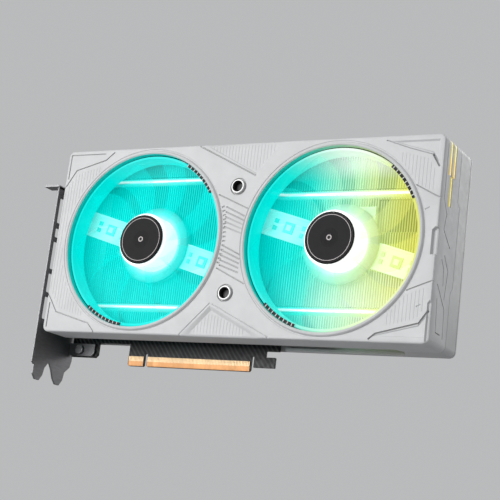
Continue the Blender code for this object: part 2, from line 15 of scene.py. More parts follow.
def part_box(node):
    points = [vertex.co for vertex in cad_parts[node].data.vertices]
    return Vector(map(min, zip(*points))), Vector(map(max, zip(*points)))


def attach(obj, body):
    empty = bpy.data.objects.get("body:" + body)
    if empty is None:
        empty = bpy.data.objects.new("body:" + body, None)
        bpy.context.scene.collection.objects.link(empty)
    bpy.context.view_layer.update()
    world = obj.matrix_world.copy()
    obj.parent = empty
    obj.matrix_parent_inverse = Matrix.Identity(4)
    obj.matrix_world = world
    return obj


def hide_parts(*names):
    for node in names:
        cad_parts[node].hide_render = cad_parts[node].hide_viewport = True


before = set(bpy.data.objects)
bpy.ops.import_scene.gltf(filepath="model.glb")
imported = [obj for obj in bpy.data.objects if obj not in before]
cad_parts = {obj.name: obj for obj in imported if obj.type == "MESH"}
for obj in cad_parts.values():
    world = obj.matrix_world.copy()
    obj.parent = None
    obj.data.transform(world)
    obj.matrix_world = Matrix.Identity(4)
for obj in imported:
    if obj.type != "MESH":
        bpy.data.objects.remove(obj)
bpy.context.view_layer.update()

MM = 0.001
GAP = 0.3
TURN = 2.0 * math.pi

# The openings' rims stand this far in front of the cover's face, where y starts
RIM_PROUD = 1.2
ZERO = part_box("front_shroud")[0] + Vector((0.0, RIM_PROUD * MM, 0.0))


def card_box(node):
    """A CAD node's lowest and highest corners in card millimetres."""
    low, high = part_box(node)
    return (low - ZERO) / MM, (high - ZERO) / MM


def card_centre(node):
    low, high = card_box(node)
    return (low + high) / 2


COVER = card_box("front_shroud")[1]
COVER_L, END_SKIRT, COVER_H = COVER
PLATE_Y = (card_box("backplate")[1].y - 1.5, card_box("backplate")[1].y)
FAN_Z = card_centre("left_fan_rotor").z
FANS = {side: card_centre(f"{side}_fan_rotor").x for side in ("left", "right")}
EYELETS = [card_centre(f"shroud_screw_{name}") for name in ("upper", "lower")]
PLATE_SCREWS = [(c.x, c.z) for c in (card_centre(f"backplate_screw_{k}") for k in (1, 2, 3, 4))]
END_SCREWS = PLATE_SCREWS[2:]

# Cover
FACE = 3.0
WALL = 2.0
SKIRT = 20.0
END_X = 222.0
CORNER_R = 3.4
EDGE_R = 1.1
OPENING_R = 52.3
EYELET_R = 2.9
COLLAR_REACH = 5.2
COLLAR_R = 4.1
COLLAR_IN = 3.3
# Grooves deeper than this, in millimetres, get a darker finish as painted shade
DEEP = 0.55
WELD = 0.004


# ---------------------------------------------------------------- mesh helpers

def piece(name, shape, finish, body="card", replaces=(), angle=30.0, bevel=None):
    """A bmesh in card millimetres becomes a named object that rides on a CAD body."""
    shape.normal_update()
    for vertex in shape.verts:
        vertex.co = vertex.co * MM + ZERO
    mesh = bpy.data.meshes.new(name)
    shape.to_mesh(mesh)
    shape.free()
    mesh.shade_smooth()
    mesh.set_sharp_from_angle(angle=math.radians(angle))
    for material in finish if isinstance(finish, (list, tuple)) else (finish,):
        mesh.materials.append(material)
    thing = bpy.data.objects.new(name, mesh)
    bpy.context.collection.objects.link(thing)
    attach(thing, body)
    if replaces:
        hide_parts(*replaces)
    if bevel:
        soften(thing, bevel)
    return thing


def soften(thing, width, segments=2):
    """Round a piece's sharp edges by width millimetres, so that they catch the light."""
    modifier = thing.modifiers.new("edges", "BEVEL")
    modifier.width = width * MM
    modifier.segments = segments
    modifier.limit_method = "ANGLE"
    modifier.angle_limit = math.radians(35.0)
    modifier.harden_normals = True


def outward(shape):
    bmesh.ops.recalc_face_normals(shape, faces=shape.faces)
    return shape


def prism(shape, outline, span, axis="Y"):
    """Extrude a closed outline along an axis; the outline holds the other two coordinates in order."""
    order = {
        "X": lambda a, b, c: (c, a, b),
        "Y": lambda a, b, c: (a, c, b),
        "Z": lambda a, b, c: (a, b, c),
    }[axis]
    near = [shape.verts.new(order(a, b, span[0])) for a, b in outline]
    far = [shape.verts.new(order(a, b, span[1])) for a, b in outline]
    faces = [shape.faces.new(near), shape.faces.new(far)]
    for i in range(len(outline)):
        j = (i + 1) % len(outline)
        faces.append(shape.faces.new((near[i], near[j], far[j], far[i])))
    bmesh.ops.recalc_face_normals(shape, faces=faces)
    return faces


def box(shape, x, y, z):
    return prism(shape, [(x[0], z[0]), (x[1], z[0]), (x[1], z[1]), (x[0], z[1])], y)


def lathe(shape, profile, centre, steps=96, marks=None, closed=True):
    """Spin a profile of (radius, y) points about the line through centre along Y.

    Marks gives the material index of each stretch of the profile.
    """
    rings = []
    for radius, y in profile:
        count = steps if radius > 1e-6 else 1
        rings.append([
            shape.verts.new((centre[0] + radius * math.cos(TURN * i / steps), y,
                             centre[1] + radius * math.sin(TURN * i / steps)))
            for i in range(count)
        ])
    faces = []
    for k in range(len(rings) if closed else len(rings) - 1):
        ring, after = rings[k], rings[(k + 1) % len(rings)]
        if len(ring) == 1 and len(after) == 1:
            continue
        for i in range(steps):
            j = (i + 1) % steps
            corners = [ring[i % len(ring)], ring[j % len(ring)], after[j % len(after)], after[i % len(after)]]
            face = shape.faces.new(list(dict.fromkeys(corners)))
            face.material_index = marks[k] if marks else 0
            faces.append(face)
    bmesh.ops.recalc_face_normals(shape, faces=faces)
    return faces


def arc(centre, radius, start, end, steps):
    """Points on an arc, with the angles in degrees."""
    angles = [math.radians(start + (end - start) * i / steps) for i in range(steps + 1)]
    return [(centre[0] + radius * math.cos(a), centre[1] + radius * math.sin(a)) for a in angles]


def rounded(x, z, radius, steps=5):
    """A rectangle's outline with round corners, anticlockwise from its lower left corner."""
    corners = [((x[0] + radius, z[0] + radius), 180), ((x[1] - radius, z[0] + radius), 270),
               ((x[1] - radius, z[1] - radius), 0), ((x[0] + radius, z[1] - radius), 90)]
    return [point for centre, start in corners for point in arc(centre, radius, start, start + 90, steps)]


# ---------------------------------------------------------------- outlines and reliefs

def anticlockwise(outline):
    area = sum(a[0] * b[1] - a[1] * b[0] for a, b in zip(outline, outline[1:] + outline[:1]))
    return outline if area > 0 else outline[::-1]


def inside(point, outline):
    """True if the point lies inside the closed outline."""
    odd = False
    for i, a in enumerate(outline):
        b = outline[i - 1]
        if (a[1] > point[1]) != (b[1] > point[1]):
            if point[0] < (b[0] - a[0]) * (point[1] - a[1]) / (b[1] - a[1]) + a[0]:
                odd = not odd
    return odd


def distance(point, a, b):
    """Distance from a point to the stretch from a to b, and the share of the stretch where it is nearest."""
    along = (b[0] - a[0], b[1] - a[1])
    square = along[0] ** 2 + along[1] ** 2
    share = ((point[0] - a[0]) * along[0] + (point[1] - a[1]) * along[1]) / square
    share = min(max(share, 0.0), 1.0)
    return math.hypot(point[0] - a[0] - along[0] * share, point[1] - a[1] - along[1] * share), share


def mitres(points, closed):
    """For each point, the step to the left of the path that shifts its sides by one unit."""
    count = len(points)
    normals = []
    for i in range(count if closed else count - 1):
        a, b = points[i], points[(i + 1) % count]
        length = math.hypot(b[0] - a[0], b[1] - a[1])
        normals.append(((a[1] - b[1]) / length, (b[0] - a[0]) / length))
    steps = []
    for i in range(count):
        before = normals[i - 1] if closed or i else normals[0]
        after = normals[i] if i < len(normals) else normals[-1]
        scale = 1.0 + before[0] * after[0] + before[1] * after[1]
        steps.append(((before[0] + after[0]) / scale, (before[1] + after[1]) / scale))
    return steps


def shifted(points, amount, closed=True):
    """The path moved to its left by amount: inwards, for an anticlockwise outline."""
    return [(p[0] + m[0] * amount, p[1] + m[1] * amount) for p, m in zip(points, mitres(points, closed))]


class Relief:
    """A surface as depths over a plane, laid out by the lines along which its slope changes."""

    def __init__(self):
        self.points, self.edges = [], []
        self.grooves, self.recesses, self.rings, self.holes = [], [], [], []

    def chain(self, points, closed=True):
        first = len(self.points)
        self.points += [Vector(p) for p in points]
        self.edges += [(first + i, first + i + 1) for i in range(len(points) - 1)]
        if closed:
            self.edges.append((first + len(points) - 1, first))

    def groove(self, path, width=0.9, depth=0.7, floor=0.35):
        """A channel along an open path, with sloped sides and a flat floor."""
        self.grooves.append((path, width / 2, floor / 2, depth))
        for half, reach in ((width / 2, width / 2), (floor / 2, 0.0)):
            ends = [self.extended(path[1], path[0], reach), self.extended(path[-2], path[-1], reach)]
            line = [ends[0], *path[1:-1], ends[1]]
            self.chain(shifted(line, half, False) + shifted(line, -half, False)[::-1])

    @staticmethod
    def extended(back, end, reach):
        length = math.hypot(end[0] - back[0], end[1] - back[1])
        return (end[0] + (end[0] - back[0]) / length * reach, end[1] + (end[1] - back[1]) / length * reach)

    def recess(self, outline, depth, slope):
        """A flat area at another depth, inside a closed outline, reached over a slope."""
        outline = anticlockwise(outline)
        self.recesses.append((outline, depth, slope))
        self.chain(outline)
        self.chain(shifted(outline, slope))

    def ring(self, centre, profile, steps):
        """Depths round a centre, given as (radius, depth) from the outside in; the last radius is a hole."""
        self.rings.append((centre, profile, steps))
        for radius, _ in profile:
            self.chain([(centre[0] + radius * math.cos(TURN * i / steps),
                         centre[1] + radius * math.sin(TURN * i / steps)) for i in range(steps)])

    def hole(self, outline):
        self.holes.append(outline)
        self.chain(outline)

    def depth(self, point):
        for centre, profile, _ in self.rings:
            away = math.hypot(point[0] - centre[0], point[1] - centre[1])
            if away < profile[0][0] + 0.01:
                return self.ring_depth(profile, away)
        low = 0.0
        for outline, depth, slope in self.recesses:
            if inside(point, outline):
                edge = min(distance(point, a, b)[0] for a, b in zip(outline, outline[1:] + outline[:1]))
                low += depth * min(edge / slope, 1.0)
        cut = 0.0
        for path, half, floor, depth in self.grooves:
            away = min(distance(point, a, b)[0] for a, b in zip(path, path[1:]))
            if away < half:
                cut = max(cut, depth * min((half - away) / (half - floor), 1.0))
        return low + cut

    def finish(self, point):
        """A place's finish: 1, a painted shade, in a deep groove and round an eyelet's collar; 3 on an
        eyelet's collar; 2, a painted shade, inside it; and 0 elsewhere.
        """
        for centre, profile, _ in self.rings:
            away = math.hypot(point[0] - centre[0], point[1] - centre[1])
            if away < profile[0][0]:
                return 0 if away > COLLAR_REACH else 1 if away > COLLAR_R else 3 if away > COLLAR_IN else 2
        deep = any(
            depth > DEEP and min(distance(point, a, b)[0] for a, b in zip(path, path[1:])) < half
            for path, half, _, depth in self.grooves
        )
        return 1 if deep else 0

    @staticmethod
    def ring_depth(profile, away):
        for (outer, high), (inner, low) in zip(profile, profile[1:]):
            if away >= inner:
                share = min(max((outer - away) / (outer - inner), 0.0), 1.0)
                return high + (low - high) * share
        return profile[-1][1]

    def skin(self, outline):
        """Triangles over the plane, inside the outline and outside every hole."""
        points, _, faces, _, _, _ = delaunay_2d_cdt(self.points, self.edges, [], 0, 1e-4)
        kept = []
        for face in faces:
            middle = sum((points[i] for i in face), Vector((0.0, 0.0))) / len(face)
            hole = any(
                math.hypot(middle.x - c[0], middle.y - c[1]) < profile[-1][0] * math.cos(math.pi / steps)
                for c, profile, steps in self.rings
            )
            hole = hole or any(inside(middle, other) for other in self.holes)
            if not hole and inside(middle, outline):
                kept.append(face)
        return points, kept


class Walk:
    """A closed anticlockwise outline walked by its length, with a step inwards at each point."""

    def __init__(self, points):
        self.points = points
        self.mitres = mitres(points, True)
        self.starts = [0.0]
        for a, b in zip(points, points[1:] + points[:1]):
            self.starts.append(self.starts[-1] + math.hypot(b[0] - a[0], b[1] - a[1]))
        self.length = self.starts[-1]

    def place(self, s, inset=0.0):
        """The point at length s along the outline, moved inwards."""
        s = min(max(s, 0.0), self.length)
        i = max(k for k in range(len(self.points)) if self.starts[k] <= s + 1e-9)
        share = (s - self.starts[i]) / (self.starts[i + 1] - self.starts[i])
        j = (i + 1) % len(self.points)
        a, b = (self.corner(k, inset) for k in (i, j))
        return (a[0] + (b[0] - a[0]) * share, a[1] + (b[1] - a[1]) * share)

    def corner(self, k, inset):
        return (self.points[k][0] + self.mitres[k][0] * inset, self.points[k][1] + self.mitres[k][1] * inset)

    def find(self, point, inset=0.0):
        """The length along the outline of a point that lies on it, or on it moved inwards."""
        best = (1e9, 0.0)
        for i in range(len(self.points)):
            j = (i + 1) % len(self.points)
            away, share = distance(point, self.corner(i, inset), self.corner(j, inset))
            best = min(best, (away, self.starts[i] + share * (self.starts[i + 1] - self.starts[i])))
        return best[1]


def upright_lines(relief, area, pitch, circles=(), width=0.8, depth=0.16):
    """Fine upright ribs over a convex area, stopping short of the circles."""
    left, right = min(p[0] for p in area), max(p[0] for p in area)
    x = left + pitch / 2
    while x < right:
        ends = []
        for a, b in zip(area, area[1:] + area[:1]):
            if (a[0] - x) * (b[0] - x) < 0:
                ends.append(a[1] + (b[1] - a[1]) * (x - a[0]) / (b[0] - a[0]))
        spans = [(min(ends) + 1.0, max(ends) - 1.0)] if len(ends) == 2 else []
        for centre, radius in circles:
            if abs(x - centre[0]) < radius:
                reach = math.sqrt(radius ** 2 - (x - centre[0]) ** 2)
                holes = (centre[1] - reach, centre[1] + reach)
                spans = [(max(low, holes[1]), high) for low, high in spans] \
                    + [(low, min(high, holes[0])) for low, high in spans]
        for low, high in spans:
            if high - low > 2.0:
                relief.groove([(x, low), (x, high)], width, depth, width * 0.4)
        x += pitch


# ---------------------------------------------------------------- cover

# Rings on the front, as (radius, depth) from the outside in, and the boss behind each eyelet
RIM = [(55.4, 0.0), (55.1, 0.45), (54.6, 0.45), (54.3, -0.4), (53.7, -1.0), (52.9, -RIM_PROUD),
       (OPENING_R, -0.6)]
COLLAR = [(COLLAR_REACH, 0.0), (4.9, 0.9), (4.4, 0.9), (COLLAR_R, -0.8), (3.9, -1.1), (COLLAR_IN, -1.1),
          (EYELET_R, -0.5)]
BOSS = [(EYELET_R, 4.0), (1.8, 4.0), (1.8, 8.7), (4.6, 8.7), (4.6, FACE)]
RIB_PITCH = 2.1
RIM_STEPS = 120
COLLAR_STEPS = 40
# The lit bars in the end face, as (y, span of z), and the joint with the end frame, as (z, y)
ACCENTS = ((10.2, (92.8, COVER_H)), (16.0, (92.8, COVER_H)), (13.1, (76.3, 92.4)))
ACCENT_W = 3.4
ACCENT_ROOM = ACCENT_W / 2 + 0.35
JOINT = [(0.0, 25.0), (32.0, 25.0), (35.5, 27.8), (79.5, 27.8), (82.0, 24.4), (COVER_H, 24.4)]


def lay_out_face(relief):
    """The panel lines, recesses and ribs of the cover's front, by area."""
    rings = [((x, FAN_Z), RIM[0][0] + 1.0) for x in FANS.values()]

    # Between the fans: a sunk wedge at the top, sloping louvres, a deep triangle at the foot
    top = [(92.5, COVER_H + 3), (134.3, 94.3), (152.6, COVER_H + 3)]
    relief.recess(top, 0.45, 0.5)
    upright_lines(relief, [(95.0, COVER_H - 0.6), (134.3, 95.6), (150.0, COVER_H - 0.6)], RIB_PITCH)
    relief.groove([(91.2, COVER_H + 1), (134.0, 93.4)], 0.9, 0.8)
    relief.groove([(112.0, 82.4), (131.8, 73.8)], 0.8, 0.7)
    relief.groove([(116.4, 39.2), (135.2, 30.4)], 0.8, 0.7)
    for k in range(5):
        for z in (75.0, 52.6):
            relief.groove([(118.0, z - 2.9 * k), (130.0, z - 5.4 - 2.6 * k)], 0.9, 0.6, 0.35)
    for k in range(14):
        turn = math.radians(-14.5 + 2.6 * k)
        teeth = [(FANS["left"] + r * math.cos(turn), FAN_Z + r * math.sin(turn)) for r in (55.9, 57.0)]
        relief.groove(teeth, 1.0, 0.6, 0.5)
    foot = [(94.6, -4.0), (160.2, -4.0), (115.0, 17.6)]
    relief.recess(foot, 1.3, 2.0)
    upright_lines(relief, [(101.0, 1.0), (150.0, 1.0), (115.2, 14.4)], RIB_PITCH)
    relief.groove([(95.2, -1.0), (114.6, 19.0)], 0.6, 0.5, 0.2)
    relief.groove([(116.4, 18.6), (158.6, -1.2)], 0.6, 0.5, 0.2)

    # Left corners
    relief.groove([(2.2, 95.4), (2.3, 110.3), (27.4, 110.3)], 0.8, 0.6)
    relief.groove([(-1.0, 86.6), (7.6, 100.4), (28.3, 106.2), (34.0, 110.9)], 0.8, 0.65)
    relief.groove([(2.6, 3.0), (2.6, 17.4)], 0.8, 0.6)
    relief.groove([(-1.0, 25.2), (3.2, 19.6), (8.4, 12.0), (27.5, 7.0), (33.0, 5.6), (39.5, -1.0)], 0.8, 0.6)
    left = [(0.8, 27.0), (9.5, 13.8), (30.0, 8.2), (30.0, 104.2), (8.6, 98.6), (0.8, 86.6)]
    upright_lines(relief, left, RIB_PITCH, rings)

    # Right corners: sunk panels with a deep slit at their inner corner
    upper = [(216.0, 109.9), (226.6, 106.3), (239.6, 102.6), (243.6, 96.0), (243.6, 109.9)]
    relief.recess(upper, 0.8, 0.8)
    relief.groove([(240.3, 101.2), (244.0, 95.2)], 1.1, 1.4)
    relief.groove([(213.0, 110.4), (226.2, 105.6), (239.6, 101.6)], 0.6, 0.6)
    relief.groove([(232.4, 84.8), (248.0, 76.6)], 0.8, 0.65)
    ribbed = [(222.0, 88.0), (243.0, 80.6), (243.0, 93.0), (238.6, 100.0), (222.0, 104.6)]
    upright_lines(relief, ribbed, RIB_PITCH, rings)
    lower = [(214.8, 3.2), (244.2, 3.2), (244.2, 15.0), (240.2, 9.6), (217.0, 4.0)]
    relief.recess(lower, 0.5, 0.5)
    relief.groove([(213.6, 1.8), (217.0, 4.6), (240.6, 10.6), (245.0, 17.2)], 1.0, 1.2)
    relief.groove([(232.6, 28.0), (248.0, 33.9)], 0.8, 0.65)
    ribbed = [(222.0, 8.0), (239.4, 12.4), (243.6, 18.6), (243.6, 30.6), (222.0, 22.0)]
    upright_lines(relief, ribbed, RIB_PITCH, rings)

    # Right edge: two steps cut into the corner between the front and the end face
    relief.recess([(244.9, 62.8), (246.0, 78.0), (252.0, 78.0), (252.0, 62.8)], 1.0, 0.6)
    relief.recess([(243.3, 47.0), (252.0, 47.0), (252.0, 62.0), (244.9, 62.0), (243.3, 60.4)], 1.9, 0.7)
    relief.recess([(244.4, 1.2), (252.0, 1.2), (252.0, 24.0), (246.2, 24.0), (244.4, 21.4)], 1.2, 0.6)
    for z in (85.0, 33.0):
        relief.groove([(238.6, z - 13.6), (240.6, z - 12.6)], 0.7, 0.5)


def lay_out_wall(relief, walk):
    """Lines cut into the cover's end face, given as (y, z) and laid along the outline's length."""
    def end(*points):
        return [(walk.find((COVER_L, z)), y) for y, z in points]

    for path in (end((4.8, 108.5), (5.2, 78.5), (10.6, 71.4), (8.2, 62.4), (19.0, 55.0)),
                 end((9.4, 46.4), (13.0, 42.4), (14.0, 33.6)),
                 end((12.8, 49.4), (19.3, 42.4), (17.1, 27.0)),
                 end((6.4, 32.6), (18.4, 21.8), (19.5, 6.4)),
                 end((7.4, 25.2), (9.0, 7.8), (15.2, 7.6))):
        relief.groove(path, 0.7, 0.6, 0.25)
    for y, z in ACCENTS:
        start, stop = accent_ends(walk, z)
        start, stop, front, back = start - 0.2, stop + 0.35, y - ACCENT_ROOM, y + ACCENT_ROOM
        relief.recess([(start, front), (stop, front), (stop, back), (start, back)], 0.7, 0.2)


def accent_ends(walk, z):
    """The lengths along the outline where a lit bar starts and ends: the upper two run over the corner."""
    over = CORNER_R if z[1] == COVER_H else 0.0
    return walk.find((COVER_L, z[0])), walk.find((COVER_L - over, z[1]))


def wall_ends(walk):
    """Where the wall stops, as (length, y) along the whole outline: it is deeper round the end face."""
    s_low, s_high = walk.find((END_X, 0.0)), walk.find((END_X, COVER_H))
    corner_low = walk.find((COVER_L, CORNER_R))
    points = [(0.0, SKIRT), (s_low - 1.5, SKIRT), (s_low + 1.5, END_SKIRT), (corner_low - 0.1, END_SKIRT)]
    points += [(walk.find((COVER_L, z)), y) for z, y in JOINT if CORNER_R < z < COVER_H - CORNER_R]
    points += [(walk.find((COVER_L, COVER_H - CORNER_R)) + 0.1, JOINT[-1][1]), (s_high - 1.5, JOINT[-1][1])]
    return points + [(s_high + 1.5, SKIRT), (walk.length, SKIRT)]


def build_cover(finishes):
    """The whole cover; finishes are for skin, seams and the eyelets' insides in painted shade, collars, and
    the openings, in painted shade and the fans' light.
    """
    walk = Walk(rounded((0.0, COVER_L), (0.0, COVER_H), CORNER_R))
    shape = bmesh.new()
    front = Relief()
    edge = [walk.corner(k, EDGE_R) for k in range(len(walk.points))]
    front.chain(edge)
    for x in FANS.values():
        front.ring((x, FAN_Z), RIM, RIM_STEPS)
    for eyelet in EYELETS:
        front.ring((eyelet.x, eyelet.z), COLLAR, COLLAR_STEPS)
    lay_out_face(front)
    skin_onto(shape, front, edge, lambda p: (p[0], front.depth(p), p[1]))

    # The rounded edge between the front and the wall
    rim = []
    for vertex in list(shape.verts):
        if vertex.is_boundary and not on_hole(front, vertex.co):
            s = walk.find((vertex.co.x, vertex.co.z), EDGE_R)
            rim.append((0.0 if s > walk.length - 1e-6 else s, vertex.co.y, vertex))
    rim.sort(key=lambda entry: entry[0])
    ring = [vertex for _, _, vertex in rim]
    for turn in (30.0, 60.0, 90.0):
        reach = EDGE_R * (1.0 - math.sin(math.radians(turn)))
        drop = EDGE_R * (1.0 - math.cos(math.radians(turn)))
        after = []
        for s, y, _ in rim:
            x, z = walk.place(s, reach)
            after.append(shape.verts.new((x, y + drop, z)))
        bridge(shape, ring, after)
        ring = after

    # The wall, unrolled along the outline
    side = Relief()
    top = [(s, y + EDGE_R) for s, y, _ in rim]
    top.append((walk.length, top[0][1]))
    bottom = wall_ends(walk)
    wall = top + bottom[::-1]
    side.chain(wall)
    for s in walk.starts[1:-1]:
        side.chain([(s, 0.0), (s, END_SKIRT + 9.0)], closed=False)
    lay_out_wall(side, walk)
    skin_onto(shape, side, wall, lambda p: unrolled(walk, p, side.depth(p)))

    # The inside: the wall's lip, a plain inner wall, and a plain back to the front face
    stops = sorted({round(s, 4) for s, _ in bottom[:-1]} | {round(s, 4) for s in walk.starts[:-1]})
    lip, inner, foot = [], [], []
    for s in stops:
        y = level(bottom, s)
        lip.append(shape.verts.new(unrolled(walk, (s, y), 0.0)))
        inner.append(shape.verts.new(unrolled(walk, (s, y), WALL)))
        foot.append(shape.verts.new(unrolled(walk, (s, FACE), WALL)))
    bridge(shape, lip, inner)
    bridge(shape, inner, foot)
    back = Relief()
    loop = [(vertex.co.x, vertex.co.z) for vertex in foot]
    back.chain(loop)
    for x in FANS.values():
        back.ring((x, FAN_Z), [(OPENING_R + 1.0, 0.0), (OPENING_R, 0.0)], RIM_STEPS)
        throat = [(OPENING_R, RIM[-1][1]), (OPENING_R, FACE)]
        lathe(shape, throat, (x, FAN_Z), RIM_STEPS, [4, 4], closed=False)
    for eyelet in EYELETS:
        centre = (eyelet.x, eyelet.z)
        back.ring(centre, [(BOSS[-1][0] + 1.0, 0.0), (BOSS[-1][0], 0.0)], COLLAR_STEPS)
        # The boss behind each eyelet, dark as painted shade
        lathe(shape, [COLLAR[-1], *BOSS], centre, COLLAR_STEPS, [2] * len(BOSS), closed=False)
    skin_onto(shape, back, loop, lambda p: (p[0], FACE, p[1]))
    bmesh.ops.remove_doubles(shape, verts=shape.verts, dist=WELD)
    piece("cover_shell", outward(shape), finishes, replaces=["front_shroud"])


def on_hole(relief, co):
    """True if the point lies on the edge of one of the relief's round holes."""
    return any(math.hypot(co.x - c[0], co.z - c[1]) < profile[-1][0] + 0.1 for c, profile, _ in relief.rings)


def unrolled(walk, point, inset):
    """The point of the wall at (length, y), moved inwards."""
    x, z = walk.place(point[0], inset)
    return (x, point[1], z)


def skin_onto(shape, relief, outline, lay):
    """Add a relief's triangles to a mesh, laid in space by a function of their flat points."""
    points, faces = relief.skin(outline)
    placed = {i: shape.verts.new(lay(points[i])) for i in sorted({i for face in faces for i in face})}
    for face in faces:
        made = shape.faces.new([placed[i] for i in face])
        middle = sum((points[i] for i in face), Vector((0.0, 0.0))) / len(face)
        made.material_index = relief.finish(middle)


def level(path, s):
    """The height of a path of (length, height) points at a length."""
    for (a, low), (b, high) in zip(path, path[1:]):
        if a <= s <= b:
            return low + (high - low) * (s - a) / (b - a)
    return path[-1][1]


def bridge(shape, ring, after):
    """Join two rings of the same number of points with a band of faces."""
    for i in range(len(ring)):
        j = (i + 1) % len(ring)
        shape.faces.new((ring[i], ring[j], after[j], after[i]))


def build_end_frame(finish):
    """The frame behind the cover's end: a wall from the joint to the rear plate, and a rail along the top."""
    walk = Walk(rounded((0.0, COVER_L), (0.0, COVER_H), CORNER_R))
    rail_y, rear_y, seam = 37.4, PLATE_Y[0] - GAP, 0.45
    start, end = walk.find((146.0, 0.0)), walk.find((4.0, COVER_H))
    front = [(s, y + seam) for s, y in wall_ends(walk) if y > SKIRT]
    front = [(start, rail_y), (front[0][0] - 4.0, rail_y), *front]
    front += [(front[-1][0] + 4.0, rail_y), (end, rail_y)]
    stops = sorted({round(s, 4) for s, _ in front} | {round(s, 4) for s in walk.starts if start < s < end})
    shape = bmesh.new()
    sections = []
    for s in stops:
        y = level(front, s)
        corners = ((y, 0.0), (rear_y, 0.0), (rear_y, WALL), (y, WALL))
        sections.append([shape.verts.new(unrolled(walk, (s, at_y), inset)) for at_y, inset in corners])
    for section, after in zip(sections, sections[1:]):
        bridge(shape, section, after)
    shape.faces.new(sections[0])
    shape.faces.new(sections[-1])
    for x, z in END_SCREWS:
        box(shape, (236.5, COVER_L - 1.0), (30.0, rear_y), (z - 4.5, z + 4.5))
    piece("end_wall", outward(shape), finish, replaces=["end_frame"], bevel=0.3)


# ---------------------------------------------------------------- fans
# Radii are from each fan's axis. SLOTS gives, in degrees, the stretches of each opening's gap that black arcs
# fill as painted shade, and MARKS the strap's darker squares as (distance out, length, distance across,
# width).

BLADES = 9
HUB_R = 16.2
RING_IN, RING_OUT = 49.9, 51.6
RING_FRONT = 1.8
SLOTS = {"left": ((33.0, 61.0), (232.0, 262.0)), "right": ((25.0, 51.0), (226.0, 252.0))}
SLOT_R = (50.3, 52.0)
BLADE_Y = (3.2, 12.6)
STRAP_TILT = math.radians(-16.4)
MARKS = ((25.0, 2.0, -3.4, 2.6), (25.0, 2.0, 0.8, 2.6), (32.0, 6.4, -3.2, 6.4), (43.0, 2.6, -3.4, 2.6),
         (43.0, 2.6, 0.8, 2.6))
TICK, TICK_PITCH = 0.6, 3.2


def blade(shape, centre, start):
    """One swept blade, thickest at mid chord, that climbs from its front edge to its back edge."""
    spans, chords = 12, 10
    inner, outer = HUB_R - 0.6, RING_IN + 0.3
    skins = ([], [])
    for i in range(spans + 1):
        s = i / spans
        radius = inner + (outer - inner) * s
        lead = start + math.radians(26.0) * s * s
        sweep = math.radians(40.0 - 14.0 * s)
        rows = ([], [])
        for j in range(chords + 1):
            t = j / chords
            angle = lead + sweep * t
            middle = BLADE_Y[0] + (BLADE_Y[1] - BLADE_Y[0]) * (t + 0.25 * t * (1.0 - t))
            half = 0.14 + 0.42 * math.sqrt(max(1.0 - (2.0 * t - 1.0) ** 2, 0.0)) * (1.0 - 0.35 * s)
            for row, side in zip(rows, (-1.0, 1.0)):
                row.append(shape.verts.new((centre[0] + radius * math.cos(angle), middle + side * half,
                                            centre[1] + radius * math.sin(angle))))
        for skin, row in zip(skins, rows):
            skin.append(row)
    front, back = skins
    faces = []
    for i in range(spans):
        for j in range(chords):
            for grid in skins:
                corners = (grid[i][j], grid[i + 1][j], grid[i + 1][j + 1], grid[i][j + 1])
                faces.append(shape.faces.new(corners))
    edge = [(i, 0) for i in range(spans)] + [(spans, j) for j in range(chords)]
    edge += [(i, chords) for i in range(spans, 0, -1)] + [(0, j) for j in range(chords, 0, -1)]
    for (i, j), (m, n) in zip(edge, edge[1:] + edge[:1]):
        faces.append(shape.faces.new((front[i][j], front[m][n], back[m][n], back[i][j])))
    bmesh.ops.recalc_face_normals(shape, faces=faces)


def build_rotor(side, centre, finishes):
    """Blades between a glowing hub and an outer band; finishes are for blades, band and hub."""
    hub = [(0, 1.0), (14.9, 1.0), (15.8, 1.3), (HUB_R, 2.0), (HUB_R, 14.6), (14.9, 14.6), (14.9, 2.6),
           (0, 2.6)]
    shape = bmesh.new()
    lathe(shape, hub, centre, 72, [2] * len(hub))
    ring = [(RING_IN, RING_FRONT + 0.5), (RING_IN + 0.3, RING_FRONT), (RING_OUT - 0.3, RING_FRONT),
            (RING_OUT, RING_FRONT + 0.5), (RING_OUT, 12.7), (RING_OUT - 0.3, 13.0), (RING_IN + 0.2, 13.0),
            (RING_IN, 12.8)]
    lathe(shape, ring, centre, 144, [1] * len(ring))
    for k in range(BLADES):
        blade(shape, centre, TURN * k / BLADES)
    piece(f"{side}_rotor", shape, finishes, f"{side}_fan", [f"{side}_fan_rotor"], angle=50.0)


def build_cap(side, centre, finishes):
    """The badge on the hub: a dark disc with turned rings, a bright hairline ring and a black rim."""
    disc, rim, bright = 0, 1, 2
    profile = [(0, -0.05), (0.85, -0.05), (0.95, -0.42), (1.6, -0.42), (1.75, -0.22)]
    marks = [rim, disc, bright, disc]
    for k in range(4):
        radius = 2.2 + 0.85 * k
        profile += [(radius, -0.22), (radius + 0.12, -0.28), (radius + 0.34, -0.28), (radius + 0.46, -0.22)]
        marks += [disc] * 4
    profile += [(12.6, -0.24), (12.7, -0.36), (13.05, -0.36), (13.15, -0.24), (13.3, -0.3), (14.2, -0.4),
                (14.7, -0.1), (14.7, 0.7), (0, 0.7)]
    marks += [disc, disc, bright, rim, rim, rim, rim, rim, rim, rim]
    shape = bmesh.new()
    lathe(shape, profile, centre, 96, marks[:len(profile)])
    piece(f"{side}_badge", shape, finishes, f"{side}_fan", [f"{side}_hub_cap"], angle=25.0)


